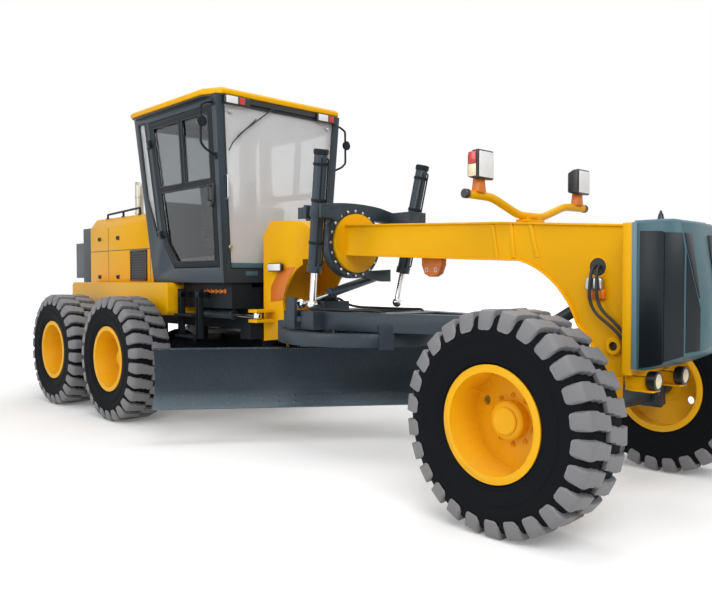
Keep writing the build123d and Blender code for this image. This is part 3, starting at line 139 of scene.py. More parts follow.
def weather_group():
    """Tone, road dust and uneven gloss on a painted or moulded surface."""
    tree, inside, outside = new_group(
        "Weather",
        [("Colour", "Color", GREY), ("Dust Colour", "Color", DUST_COLOUR), ("Dust", "Float", 0.3),
         ("Tone", "Float", 0.12), ("Roughness", "Float", 0.35), ("Scale", "Float", 3.0)],
        [("Colour", "Color"), ("Roughness", "Float")],
    )
    place = place_of(tree)
    patch = remap(tree, noise(tree, place, inside["Scale"], 6.0, 0.6), 0.42, 0.72)
    speck = noise(tree, place, 46.0, 4.0, 0.7)
    low = remap(tree, upward_part(tree, place), 0.05, 1.25, 1.0, 0.0)
    facing = upward_part(tree, add_node(tree, "NewGeometry").outputs["Normal"])
    dust = maths(tree, "ADD", low, remap(tree, facing, 0.55, 1.0, 0.0, 0.45))
    dust = maths(tree, "MULTIPLY", dust, maths(tree, "ADD", patch, 0.25))
    dust = maths(tree, "MULTIPLY", dust, maths(tree, "ADD", speck, 0.2))
    dust = maths(tree, "MULTIPLY", dust, inside["Dust"])
    dust = add_node(tree, "Clamp", {"Value": dust}).outputs[0]
    shade = add_node(tree, "HueSaturation", {"Color": inside["Colour"], "Saturation": 0.97, "Value": 0.82}).outputs[0]
    colour = mix_colours(tree, maths(tree, "MULTIPLY", patch, inside["Tone"]), inside["Colour"], shade)
    tree.links.new(mix_colours(tree, dust, colour, inside["Dust Colour"]), outside["Colour"])
    rough = maths(tree, "MULTIPLY", maths(tree, "SUBTRACT", speck, 0.5), 0.16)
    rough = maths(tree, "ADD", rough, maths(tree, "MULTIPLY", dust, 0.45))
    rough = maths(tree, "ADD", rough, inside["Roughness"])
    tree.links.new(add_node(tree, "Clamp", {"Value": rough, "Min": 0.04}).outputs[0], outside["Roughness"])
    return tree


def wear_group():
    """Bare or pale metal along the outer edges."""
    tree, inside, outside = new_group(
        "Edge Wear",
        [("Colour", "Color", GREY), ("Bare Colour", "Color", GREY), ("Width", "Float", 0.006),
         ("Amount", "Float", 0.5)],
        [("Colour", "Color")],
    )
    rounded = add_node(tree, "Bevel", {"Radius": inside["Width"]}, samples=4).outputs[0]
    flat = add_node(tree, "NewGeometry").outputs["Normal"]
    turn = add_node(tree, "VectorMath", {0: rounded, 1: flat}, operation="DOT_PRODUCT").outputs["Value"]
    chips = remap(tree, noise(tree, place_of(tree), 38.0, 5.0, 0.65), 0.5, 0.62)
    mask = maths(tree, "MULTIPLY", remap(tree, turn, 0.99, 0.86), chips)
    mask = maths(tree, "MULTIPLY", mask, inside["Amount"])
    tree.links.new(mix_colours(tree, mask, inside["Colour"], inside["Bare Colour"]), outside["Colour"])
    return tree


def grain_group():
    """Height of a fine even grain, such as sprayed paint's or a cast face's."""
    tree, inside, outside = new_group("Grain", [("Scale", "Float", 300.0)], [("Height", "Float")])
    tree.links.new(noise(tree, place_of(tree), inside["Scale"], 3.0), outside["Height"])
    return tree


def scuff_group():
    """Long fine scratches on metal that earth slides over."""
    tree, inside, outside = new_group(
        "Scuffs",
        [("Scale", "Float", 30.0), ("Stretch", "Vector", (1, 1, 12))],
        [("Mask", "Float"), ("Height", "Float")],
    )
    pulled = add_node(tree, "VectorMath", {0: place_of(tree), 1: inside["Stretch"]}, operation="MULTIPLY")
    lines = noise(tree, pulled.outputs[0], inside["Scale"], 7.0, 0.75)
    tree.links.new(remap(tree, lines, 0.52, 0.70), outside["Mask"])
    tree.links.new(lines, outside["Height"])
    return tree


GROUPS = {}
FINISHES = {}


def place_group(tree, name, links):
    """One of the shared groups in a material, with its own values."""
    return add_node(tree, "Group", links, node_tree=GROUPS[name]).outputs


def new_material(name, **fixed):
    """A material with its shader's fixed values set on the shader itself."""
    material = bpy.data.materials.new(name)
    material.use_nodes = True
    shader = material.node_tree.nodes["Principled BSDF"]
    for socket, value in fixed.items():
        shader.inputs[socket.replace("_", " ")].default_value = value
    FINISHES[name] = material
    return material.node_tree, shader


def link_up(tree, shader, colour, roughness, height, depth):
    """Feeds a material's colour, roughness and relief to its shader."""
    tree.links.new(colour, shader.inputs["Base Color"])
    tree.links.new(roughness, shader.inputs["Roughness"])
    relief = add_node(tree, "Bump", {"Height": height, "Distance": depth})
    tree.links.new(relief.outputs[0], shader.inputs["Normal"])


def coated(name, colour, roughness, dust, wear=0.0, grain=(420.0, 0.0004), tone=0.12, scale=3.0,
           bare=(0.32, 0.31, 0.30), **fixed):
    """A painted or moulded finish: weather over a base colour, worn edges and a fine grain."""
    tree, shader = new_material(name, **fixed)
    weather = place_group(tree, "Weather", {"Colour": (*colour, 1), "Roughness": roughness, "Dust": dust,
                                            "Tone": tone, "Scale": scale})
    result = weather["Colour"]
    if wear:
        worn = place_group(tree, "Edge Wear", {"Colour": result, "Amount": wear, "Bare Colour": (*bare, 1)})
        result = worn["Colour"]
    grain_scale, depth = grain
    fine = place_group(tree, "Grain", {"Scale": grain_scale})
    link_up(tree, shader, result, weather["Roughness"], fine["Height"], depth)


def scoured(name, colour, bright, polished, roughness, **fixed):
    """Worn steel with scratches that run one way, polished towards the ground."""
    tree, shader = new_material(name, **fixed)
    low = remap(tree, upward_part(tree, place_of(tree)), 0.10, 0.48, 1.0, 0.0)
    base = mix_colours(tree, low, (*colour, 1), (*polished, 1))
    weather = place_group(tree, "Weather", {"Colour": base, "Roughness": roughness, "Dust": 0.05, "Tone": 0.3})
    scuffs = place_group(tree, "Scuffs", {"Stretch": (3.0, 3.0, 0.5)})
    result = mix_colours(tree, maths(tree, "MULTIPLY", scuffs["Mask"], 0.35), weather["Colour"], (*bright, 1))
    worn = place_group(tree, "Edge Wear", {"Colour": result, "Bare Colour": (0.45, 0.46, 0.47, 1), "Amount": 0.8,
                                           "Width": 0.008})
    link_up(tree, shader, worn["Colour"], weather["Roughness"], scuffs["Height"], 0.0006)


def glazing(name, colour, painted_glare=0.0):
    """Clear or tinted glass, with faint smears in its gloss; painted_glare turns that share of it into flat white, a
    painted reflection.
    """
    tree, shader = new_material(name, Transmission_Weight=1.0 - painted_glare, IOR=1.45, Base_Color=(*colour, 1))
    smear = remap(tree, noise(tree, place_of(tree), 2.5, 4.0), 0.45, 0.8, 0.0, 0.05)
    tree.links.new(smear, shader.inputs["Roughness"])


def cloth_finish(name, colour):
    """Woven seat fabric."""
    tree, shader = new_material(name, Sheen_Weight=0.4, Sheen_Roughness=0.5)
    waves = {"Vector": place_of(tree), "Scale": 140.0, "Distortion": 0.6}
    weave = [add_node(tree, "TexWave", waves, bands_direction=way).outputs["Fac"] for way in ("Y", "Z")]
    threads = maths(tree, "MULTIPLY", *weave)
    weather = place_group(tree, "Weather", {"Colour": (*colour, 1), "Roughness": 0.85, "Dust": 0.15, "Tone": 0.5})
    light = add_node(tree, "HueSaturation", {"Color": weather["Colour"], "Value": 1.7}).outputs[0]
    link_up(tree, shader, mix_colours(tree, threads, weather["Colour"], light), weather["Roughness"], threads, 0.0008)


# Modelling by hand


def clear():
    """Object mode with nothing selected."""
    if bpy.context.mode != "OBJECT":
        bpy.ops.object.mode_set(mode="OBJECT")
    bpy.ops.object.select_all(action="DESELECT")


def pick(*pieces):
    """Selects these pieces alone, with the first one active."""
    clear()
    for piece in pieces:
        piece.select_set(True)
    bpy.context.view_layer.objects.active = pieces[0]


def edit():
    bpy.ops.object.mode_set(mode="EDIT")
    bpy.ops.mesh.select_all(action="SELECT")


def close_edit(merge=0.0):
    """Back to object mode with the doubles merged and the faces turned outwards."""
    bpy.ops.mesh.select_all(action="SELECT")
    if merge:
        bpy.ops.mesh.remove_doubles(threshold=merge)
    bpy.ops.mesh.normals_make_consistent(inside=False)
    bpy.ops.object.mode_set(mode="OBJECT")


def add_modifier(piece, kind, **settings):
    made = piece.modifiers.new(kind.title(), kind)
    for key, value in settings.items():
        setattr(made, key, value)
    return made


def with_modifier(piece, kind, **settings):
    """A piece with a modifier applied."""
    pick(piece)
    bpy.ops.object.modifier_apply(modifier=add_modifier(piece, kind, **settings).name)
    return piece


def soften(piece, width, segments=2, angle=30.0):
    """Rounds a piece's sharp edges."""
    return with_modifier(piece, "BEVEL", width=width, segments=segments, limit_method="ANGLE",
                         angle_limit=math.radians(angle))


def block(low, high, width=0.004, segments=2):
    """A box between two corners of the drawing, with rounded edges."""
    clear()
    a, b = at(*low), at(*high)
    bpy.ops.mesh.primitive_cube_add(size=1, location=(a + b) / 2)
    piece = bpy.context.object
    piece.scale = [abs(x) for x in b - a]
    bpy.ops.object.transform_apply(location=True, rotation=True, scale=True)
    return soften(piece, width, segments)


def loft(sections, width=0.0, segments=2):
    """A closed solid through outlines of like corners, each extruded from the one before."""
    clear()
    bpy.ops.mesh.primitive_circle_add(vertices=len(sections[0]), fill_type="NGON")
    piece = bpy.context.object
    edit()
    mesh = bmesh.from_edit_mesh(piece.data)
    corner = mesh.verts.layers.int.new("corner")
    for number, vertex in enumerate(mesh.verts):
        vertex[corner] = number
    for step, corners in enumerate(sections):
        if step:
            bpy.ops.mesh.extrude_region_move()
        mesh = bmesh.from_edit_mesh(piece.data)
        corner = mesh.verts.layers.int["corner"]
        for vertex in mesh.verts:
            if vertex.select:
                vertex.co = corners[vertex[corner]]
        bmesh.update_edit_mesh(piece.data)
    close_edit()
    return soften(piece, width, segments) if width else piece


def flat_panel(corners, out, width=0.002):
    """A thin plate on slanted places of the drawing, as thick as the vector out."""
    inner = [at(*corner) for corner in corners]
    return loft([inner, [place + Vector(out) * MM for place in inner]], width)


def slab(corners, low, high, axis="Y", width=0.003, segments=2):
    """An outline of the drawing between two places along the remaining axis."""
    order = {
        "X": lambda u, v, w: at(w, u, v),
        "Y": lambda u, v, w: at(u, w, v),
        "Z": lambda u, v, w: at(u, v, w),
    }[axis]
    return loft([[order(u, v, w) for u, v in corners] for w in (low, high)], width, segments)


def lathe(profile, centre, axis=(0, 1, 0), count=48, closed=False):
    """A turned piece: a circle extruded through (radius, place along the axis), in millimetres."""
    clear()
    radius, along = (value * MM for value in profile[0])
    pointed = profile[0][0] == 0 or profile[-1][0] == 0
    radius = max(radius, 1e-5)
    bpy.ops.mesh.primitive_circle_add(vertices=count, radius=radius, location=(0, 0, along))
    piece = bpy.context.object
    bpy.ops.object.transform_apply(location=True, rotation=True, scale=True)
    edit()
    for next_radius, next_along in profile[1:]:
        next_radius = max(next_radius * MM, 1e-5)
        next_along *= MM
        bpy.ops.mesh.extrude_edges_move(TRANSFORM_OT_translate={"value": (0, 0, next_along - along)})
        if next_radius != radius:
            grow = next_radius / radius
            bpy.ops.transform.resize(value=(grow, grow, 1), center_override=(0, 0, next_along))
        radius, along = next_radius, next_along
    close_edit(2e-5 if closed or pointed else 1e-6)
    piece.rotation_mode = "QUATERNION"
    piece.rotation_quaternion = Vector((0, 0, 1)).rotation_difference(Vector(axis))
    piece.location = at(*centre)
    bpy.ops.object.transform_apply(location=True, rotation=True, scale=True)
    return piece


def hoop(inner, outer, low, high, centre, axis=(0, 1, 0), count=40):
    """A ring between two radii and two places along its axis."""
    return lathe([(inner, low), (outer, low), (outer, high), (inner, high)], centre, axis, count, closed=True)


def puck(radius, height, centre, axis, count=24, rim=(4, 4), foot=0):
    """A round or many-sided boss with a bevelled rim, whose foot may lie under its centre."""
    across, down = rim
    profile = [(0, foot), (radius, foot), (radius, height - down), (radius - across, height), (0, height)]
    return lathe(profile, centre, axis, count)


def rod(start, end, radius, count):
    """A round bar between two places of the drawing."""
    run = at(*end) - at(*start)
    length = run.length / MM
    edge = min(2.0, radius / 2)
    profile = [(0, 0), (radius - edge, 0), (radius, edge), (radius, length - edge), (radius - edge, length),
               (0, length)]
    return lathe(profile, start, run.normalized(), count)


def smooth_line(route, radius, resolution, rings):
    """A round line on one smooth curve through control points, all in metres."""
    clear()
    bpy.ops.curve.primitive_nurbs_path_add()
    piece = bpy.context.object
    line = piece.data
    line.splines.clear()
    spline = line.splines.new("NURBS")
    spline.points.add(len(route) - 1)
    for point, place in zip(spline.points, route):
        point.co = (*place, 1)
    spline.order_u = 3
    spline.use_endpoint_u = True
    spline.resolution_u = resolution
    line.dimensions = "3D"
    line.bevel_depth = radius
    line.bevel_resolution = rings
    line.use_fill_caps = True
    return piece


def tube(points, radius, bend=40.0, count=10):
    """A bent round tube along straight runs, with control points beside each corner."""
    places = [at(*point) for point in points]
    route = [places[0]]
    for before, here, after in zip(places, places[1:], places[2:]):
        for other in (before, after):
            reach = min(bend * MM, (other - here).length * 0.45)
            near = here + (other - here).normalized() * reach
            route += [near, here] if other is before else [near]
    route.append(places[-1])
    smooth_line(route, radius * MM, 5, max(1, count // 4 - 1))
    bpy.ops.object.convert(target="MESH")
    edit()
    close_edit(1e-6)
    return bpy.context.object


def joined(pieces):
    """One mesh from several pieces."""
    pick(*pieces)
    if len(pieces) > 1:
        bpy.ops.object.join()
    return bpy.context.object


def copy_of(piece):
    """A copy with its own mesh."""
    pick(piece)
    bpy.ops.object.duplicate()
    return bpy.context.object


def moved(piece, offset=(0, 0, 0), turn=None, centre=(0, 0, 0)):
    """A piece turned about a place in metres and shifted, with both in its mesh."""
    matrix = Matrix.Translation(Vector(offset))
    if turn is not None:
        about = Vector(centre)
        matrix = matrix @ Matrix.Translation(about) @ turn.to_4x4() @ Matrix.Translation(-about)
    piece.data.transform(matrix)
    return piece


def flip(piece):
    """Mirrors a piece's mesh to the machine's other side."""
    piece.data.transform(Matrix.Scale(-1, 4, Vector((0, 1, 0))))
    piece.data.flip_normals()
    return piece


def flipped(piece):
    """The piece's mirror image on the machine's other side, as a new piece."""
    return flip(copy_of(piece))


def both(*pieces):
    """Pieces and their mirror images."""
    return [*pieces, *(flipped(piece) for piece in pieces)]


def done(pieces, name, body, finish, replaces=(), slot=None, smooth=35.0):
    """Joins finished pieces, names and paints them and puts them on their body."""
    piece = joined(pieces if isinstance(pieces, list) else [pieces])
    bpy.ops.object.transform_apply(location=True, rotation=True, scale=True)
    bpy.ops.object.shade_smooth_by_angle(angle=math.radians(smooth))
    piece.name = name
    piece.data.name = name
    if finish:
        piece.data.materials.clear()
        piece.data.materials.append(FINISHES[finish])
    slot = slot or SLOTS[finish]
    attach(piece, body)
    if replaces:
        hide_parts(*replaces)
    return piece


def dress(node, finish, rounding):
    """A node of the frame keeps its shape, and gets rounded edges and its finish."""
    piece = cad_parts[node]
    piece.data.materials.clear()
    piece.data.materials.append(FINISHES[finish])
    if not rounding:
        return
    add_modifier(piece, "WELD", merge_threshold=1e-5)
    add_modifier(piece, "DECIMATE", decimate_type="DISSOLVE", angle_limit=math.radians(0.5))
    add_modifier(piece, "BEVEL", width=rounding, segments=2, limit_method="ANGLE", angle_limit=math.radians(40),
                 harden_normals=True)
    pick(piece)
    bpy.ops.object.shade_smooth_by_angle(angle=math.radians(35), keep_sharp_edges=False)


# Sizes and colours that a user would change


def colour_setting(name, description, default):
    return bpy.props.FloatVectorProperty(name=name, description=description, subtype="COLOR", size=3, min=0, max=1,
                                         default=default)


class GraderColours(bpy.types.PropertyGroup):
    body: colour_setting("Body paint", "Colour of the frame, hood and wheels", (0.83, 0.42, 0.002))
    dark: colour_setting("Dark paint", "Colour of the cab's frame and the blade group", (0.026, 0.040, 0.052))
    rubber: colour_setting("Rubber", "Colour of the tyres", (0.006, 0.007, 0.009))
    glass: colour_setting("Glass", "Tint of the doors' windows", (0.42, 0.46, 0.48))


class GraderSizes(bpy.types.PropertyGroup):
    tyre_radius: bpy.props.FloatProperty(name="Tyre radius", description="Radius over the lugs", unit="LENGTH",
                                         min=0.4, max=1.0, default=0.670)
    lugs: bpy.props.IntProperty(name="Lugs", description="Lugs in each row of a tyre's tread", min=12, max=40,
                                default=26)
    wheel_nuts: bpy.props.IntProperty(name="Wheel nuts", description="Nuts round each hub", min=6, max=20, default=10)
    rail_radius: bpy.props.FloatProperty(name="Grab rail radius", description="Radius of the tube of the grab rails",
                                         unit="LENGTH", min=0.005, max=0.04, default=0.014)


# The record's material slot of each finish that a made piece wears
SLOTS = {
    "Body paint": "yellow_paint", "Painted-shade yellow": "yellow_paint", "Wheel paint": "rim_paint",
    "Frame black": "frame_paint", "Box paint": "dark_paint", "Trim paint": "dark_paint", "Painted shade black": "dark_paint",
    "Trim rubber": "black_plastic", "Moulded plastic": "black_plastic", "Lamp shell": "black_plastic",
    "Chrome": "chrome", "Bright steel": "chrome", "Exhaust metal": "exhaust", "Blade steel": "blade_steel",
    "Seat fabric": "seat_fabric", "Lamp face": "glass", "Red lens": "glass", "Cream lens": "glass",
}

# Finish, rounding in metres and nodes
NODE_FINISHES = (
    ("Frame black", 0.002, "steps_and_mirrors"),
    ("Frame black", 0.004, "rear_frame door_left door_right"),
    ("Frame black", 0.006, "tandem_axle"),
    ("Body paint", 0.003, "lamp_bar"),
    ("Body paint", 0.005, "hood front_frame"),
    ("Body paint", 0.006, "side_tanks"),
    ("Body paint", 0.008, "cab_roof"),
    ("Dark paint", 0.002, "lean_barrel steering_barrel"),
    ("Dark paint", 0.003, "lean_bar tie_rod articulation_barrel_left articulation_barrel_right lift_barrel_left"
                          " lift_barrel_right centre_shift_barrel tilt_brackets"),
    ("Dark paint", 0.004, "cab_shell lean_yoke_left lean_yoke_right knuckle_left knuckle_right circle"),
    ("Dark paint", 0.005, "rear_cowl saddle front_axle drawbar"),
    ("Box paint", 0.008, "front_box"),
    ("Wheel paint", 0.003, "rim_rear_left rim_rear_right rim_mid_left rim_mid_right rim_front_left rim_front_right"),
    ("Chrome", 0.001, "articulation_rod_left articulation_rod_right lift_rod_left lift_rod_right centre_shift_rod"
                      " lean_rod steering_rod"),
    ("Bright steel", 0.001, "tie_rod_end"),
    ("Bright steel", 0.002, "drawbar_ball"),
    ("Blade steel", 0.002, "moldboard"),
    ("Exhaust metal", 0.001, "exhaust_stack"),
    ("Engine iron", 0.004, "engine_block"),
    ("Seat fabric", 0.004, "operator_seat"),
    ("Moulded plastic", 0.004, "steering_console"),
    ("Bright glass", 0.0, "cab_glass"),
    ("Window glass", 0.0, "door_glass_left door_glass_right"),
)


class GRADER_OT_finishes(bpy.types.Operator):
    """Make the finishes and give them to the frame's own nodes"""
    bl_idname = "grader.finishes"
    bl_label = "Finishes"

    def execute(self, context):
        colours = context.scene.grader_colours
        GROUPS["Weather"] = weather_group()
        GROUPS["Edge Wear"] = wear_group()
        GROUPS["Grain"] = grain_group()
        GROUPS["Scuffs"] = scuff_group()
        coated("Body paint", colours.body, 0.34, 0.05, 0.25, bare=(0.20, 0.09, 0.02), Specular_IOR_Level=0.12)
        coated("Dark paint", colours.dark, 0.36, 0.05, 0.35, bare=(0.10, 0.12, 0.13), Specular_IOR_Level=0.3)
        coated("Wheel paint", colours.body, 0.40, 0.09, 0.3, bare=(0.24, 0.10, 0.02), Specular_IOR_Level=0.2)
        coated("Frame black", (0.012, 0.016, 0.020), 0.45, 0.02, 0.3, bare=(0.06, 0.06, 0.06),
               Specular_IOR_Level=0.12)
        coated("Rubber", colours.rubber, 0.66, 0.008, grain=(180.0, 0.0010), tone=0.3, scale=5.0,
               Specular_IOR_Level=0.05)
        # The tread and its edges are a much lighter grey than the carcass rubber: partly dust and scuffing, partly
        # painted light standing in for the lit faces of the lugs.
        coated("Tread rubber", (0.17, 0.17, 0.18), 0.50, 0.15, 0.5, (120.0, 0.0014), 0.5, 9.0, (0.30, 0.30, 0.31))
        coated("Trim rubber", (0.008, 0.008, 0.009), 0.55, 0.12, grain=(500.0, 0.0003))
        coated("Moulded plastic", (0.015, 0.016, 0.018), 0.5, 0.12, grain=(700.0, 0.0004))
        coated("Chrome", (0.72, 0.73, 0.75), 0.12, 0.05, grain=(60.0, 0.0001), tone=0.08, Metallic=1.0)
        coated("Bright steel", (0.42, 0.42, 0.43), 0.3, 0.2, 0.4, bare=(0.6, 0.6, 0.6), Metallic=0.9)
        # A darker, redder copy of the body yellow: painted shade, worn by pieces that sit in shadow.
        coated("Painted-shade yellow", (0.66, 0.17, 0.008), 0.4, 0.25, 0.3, bare=(0.2, 0.08, 0.02))
        coated("Exhaust metal", (0.46, 0.44, 0.38), 0.42, 0.3, 0.3, tone=0.6, scale=8.0, Metallic=0.85)
        coated("Engine iron", (0.06, 0.06, 0.06), 0.6, 0.5, grain=(90.0, 0.002))
        coated("Lamp shell", (0.010, 0.010, 0.011), 0.35, 0.1, grain=(500.0, 0.0003))
        coated("Red lens", (0.52, 0.01, 0.008), 0.2, 0.05, Coat_Weight=0.6)
        coated("Cream lens", (0.80, 0.66, 0.42), 0.2, 0.05, grain=(60.0, 0.0012), Coat_Weight=0.6)
        coated("Lamp face", (0.80, 0.81, 0.82), 0.16, 0.03, grain=(60.0, 0.0012), Coat_Weight=0.5)
        coated("Box paint", (0.055, 0.125, 0.150), 0.34, 0.04, 0.3, bare=(0.2, 0.24, 0.26), Specular_IOR_Level=0.3)
        coated("Trim paint", (0.13, 0.21, 0.26), 0.34, 0.04, 0.3, bare=(0.3, 0.34, 0.36), Specular_IOR_Level=0.3)
        # A near-black copy of the box's slate: painted shade, worn by the sheets over the front box's side faces.
        coated("Painted shade black", (0.006, 0.011, 0.015), 0.32, 0.03, 0.2, bare=(0.05, 0.06, 0.07),
               Specular_IOR_Level=0.25)
        scoured("Blade steel", (0.022, 0.034, 0.044), bright=(0.07, 0.09, 0.105), polished=(0.22, 0.29, 0.34),
                roughness=0.38, Metallic=0.2, Specular_IOR_Level=0.15)
        glazing("Window glass", colours.glass)
        # The cab's panes are partly flat white: a painted reflection on the glass.
        glazing("Bright glass", (0.97, 0.98, 1.0), painted_glare=0.42)
        cloth_finish("Seat fabric", (0.035, 0.037, 0.042))
        for finish, rounding, nodes in NODE_FINISHES:
            for node in nodes.split():
                dress(node, finish, rounding)
        return {"FINISHED"}


# Wheels

LUG_DROP = 3.0  # the second row stands lower, as on the drawing
SHOULDER_Y = 200  # a lug narrows more beyond here
CARCASS = (
    (318.3, 185.5), (352, 185.7), (358, 190), (366, 203), (376, 207), (384, 205), (392, 209), (430, 218), (470, 220),
    (474, 217), (500, 217), (504, 219.5), (540, 218.5), (580, 212), (612, 199), (630, 182), (638, 160),
)
# A lug's sections from the middle of the tread over its shoulder: across the tread, along it, half its length,
# its top and its foot
LUG = (
    (-6, -8, 44, 668, 618), (48, -4, 50, 670, 618), (60, 9, 49, 670, 618), (104, 12, 52, 670, 615),
    (116, 22, 53, 669.5, 612), (178, 24, 57, 668, 600), (196, 24, 57, 660, 590), (213, 25, 52, 634, 575),
    (221.5, 26, 44, 600, 556), (221.8, 26, 30, 572, 548),
)


def lug_row(side, drop, grow):
    """One lug on a side of the tread, at the foot of the tyre."""
    sections = []
    for across, along, half, top, foot in LUG:
        top = min(top, AXLE_Z) * grow - drop
        y = side * across * MM
        middle, reach = side * along * MM, half * MM
        taper = 0.93 if across < SHOULDER_Y else 0.85
        sections.append([
            Vector((middle - reach, y, foot * MM)), Vector((middle + reach, y, foot * MM)),
            Vector((middle + reach * taper, y, top * MM)), Vector((middle - reach * taper, y, top * MM)),
        ])
    return soften(loft(sections), 0.005, 2, 25)


def tyre_mesh(radius, lugs):
    """One tyre about its own middle, with its axle along Y."""
    grow = radius / (AXLE_Z * MM)
    ring = [(r * grow, y) for r, y in CARCASS]
    profile = ring + [(r, -y) for r, y in reversed(ring)] + [ring[0]]
    carcass = lathe(profile, (DRAWING_X, 0, 0), count=104, closed=True)
    pitch = 2 * math.pi / lugs
    rows = []
    for side, drop, half_pitch in ((1, 0.0, 0.0), (-1, LUG_DROP, 0.5)):
        lug = lug_row(side, drop, grow)
        moved(lug, turn=Quaternion((0, 1, 0), math.pi + half_pitch * pitch).to_matrix())
        edit()
        bpy.ops.mesh.spin(dupli=True, steps=lugs - 1, angle=2 * math.pi - pitch, center=(0, 0, 0), axis=(0, 1, 0))
        close_edit()
        rows.append(lug)
    return carcass, joined(rows)


def put_on_wheels(model, stem, finish, slot, node=None):
    """Puts a copy on each of the six wheels, turned about on the right."""
    for station, x in STATIONS:
        for side, sign in SIDES:
            piece = copy_of(model)
            if sign < 0:
                moved(piece, turn=Quaternion((0, 0, 1), math.pi).to_matrix())
            moved(piece, at(x, sign * WHEEL_Y, AXLE_Z))
            wheel = f"{station}_{side}"
            done(piece, f"{stem}_{wheel}", f"wheel_{wheel}", finish, [f"{node}_{wheel}"] if node else (), slot)
    bpy.data.objects.remove(model)


class GRADER_OT_tyres(bpy.types.Operator):
    """Make the six lugged tyres"""
    bl_idname = "grader.tyres"
    bl_label = "Tyres"

    def execute(self, context):
        sizes = context.scene.grader_sizes
        carcass, tread = tyre_mesh(sizes.tyre_radius, sizes.lugs)
        for piece, finish in ((carcass, "Rubber"), (tread, "Tread rubber")):
            piece.data.materials.clear()
            piece.data.materials.append(FINISHES[finish])
        put_on_wheels(joined([carcass, tread]), "lugged_tyre", None, "tyre", "tyre")
        return {"FINISHED"}


NUT_CIRCLE = 150.0
NUT_FACE = -35.0  # the disc's face, from the wheel's middle


class GRADER_OT_wheel_nuts(bpy.types.Operator):
    """Make the studs and nuts, hub caps and valves of the six wheels"""
    bl_idname = "grader.wheel_nuts"
    bl_label = "Wheel Nuts"

    def execute(self, context):
        count = context.scene.grader_sizes.wheel_nuts
        washer = [(0, NUT_FACE - 2), (17, NUT_FACE - 2), (17, NUT_FACE + 4), (0, NUT_FACE + 4)]
        made = []
        for step in range(count):
            angle = 2 * math.pi * (step + 0.5) / count
            centre = (DRAWING_X + NUT_CIRCLE * math.cos(angle), 0, NUT_CIRCLE * math.sin(angle))
            made.append(lathe(washer, centre, count=16))
            made.append(puck(13, NUT_FACE + 19, centre, (0, 1, 0), 6, (4, 3), NUT_FACE))
            made.append(puck(6.5, NUT_FACE + 32, centre, (0, 1, 0), 12, (1.5, 2), NUT_FACE))
        cap = lathe([(0, 45), (78, 45), (84, 47), (84, 56), (76, 62), (0, 64)], (DRAWING_X, 0, 0), count=40)
        stem = tube([(DRAWING_X + 215, NUT_FACE, 150), (DRAWING_X + 222, 20, 155), (DRAWING_X + 240, 60, 168)], 5, 20)
        put_on_wheels(joined([*made, cap, stem]), "wheel_nuts", "Wheel paint", "rim_paint")
        return {"FINISHED"}


# Cab

CAB_FLOOR_Z = 1490.0
CAB_RISE = 1850.0


def lean(z, low, high):
    """A measure that runs evenly up the cab, from its floor to its roof."""
    return low + (z - CAB_FLOOR_Z) / CAB_RISE * (high - low)


def cab_side(z):
    return lean(z, 675, 795)


def cab_front(z):
    return lean(z, 2120, 2185)


def cab_back(z):
    return lean(z, 660, 460)


def door_pillar(z):
    return lean(z, 1010, 790)


DOOR_PANES = (
    ((door_pillar(2490) + 80, 2470), (door_pillar(1900) + 80, 1920), (door_pillar(1650) + 240, 1710), (1990, 1710),
     (2002, 2470)),
    ((door_pillar(2490) + 80, 2530), (1440, 2530), (1440, 3175), (door_pillar(3175) + 80, 3175)),
    ((1500, 2530), (2002, 2530), (2014, 3175), (1500, 3175)),
)
QUARTER_PANE = (
    (cab_back(2440) + 85, 2440), (door_pillar(1990) - 125, 1990), (door_pillar(1990) - 95, 1990),
    (door_pillar(3260) - 95, 3260), (cab_back(3260) + 85, 3260),
)
WINDSCREEN = ((-600, 1640), (600, 1640), (705, 3260), (-705, 3260))
BACK_PANE = ((-560, 2420), (560, 2420), (600, 3240), (-600, 3240))


def closed_strip(places, radius):
    """A round strip along a closed outline."""
    first, last = places[0], places[-1]
    middle = tuple((a + b) / 2 for a, b in zip(first, last))
    return tube([middle, *places, middle], radius, 26, 8)


class GRADER_OT_window_strips(bpy.types.Operator):
    """Make the rubber strips round the cab's windows and the wiper"""
    bl_idname = "grader.window_strips"
    bl_label = "Window Strips"

    def execute(self, context):
        quarter = closed_strip([(x, cab_side(z), z) for x, z in QUARTER_PANE], 9)
        front = closed_strip([(cab_front(z), y, z) for y, z in WINDSCREEN], 10)
        back = closed_strip([(cab_back(z), y, z) for y, z in BACK_PANE], 10)
        done([*both(quarter), front, back], "window_strips_cab", "rear_machine", "Trim rubber")
        door = joined([closed_strip([(x, cab_side(z), z) for x, z in pane], 8) for pane in DOOR_PANES])
        for piece, (side, _) in zip(both(door), SIDES):
            done(piece, f"window_strips_door_{side}", f"cab_door_{side}", "Trim rubber")
        arm = tube([(2196, -127, 3286), (2206, -160, 3262), (2188, -480, 3010), (2172, -540, 2950)], 7, 30)
        hub = lathe([(0, 0), (24, 0), (24, 22), (16, 32), (0, 34)], (2180, -127, 3286), (1, 0, 0), 20)
        blade = tube([(2196, -330, 3150), (2176, -589, 2898), (2170, -640, 2800)], 6, 60)
        done([arm, hub, blade], "wiper", "rear_machine", "Trim rubber")
        return {"FINISHED"}


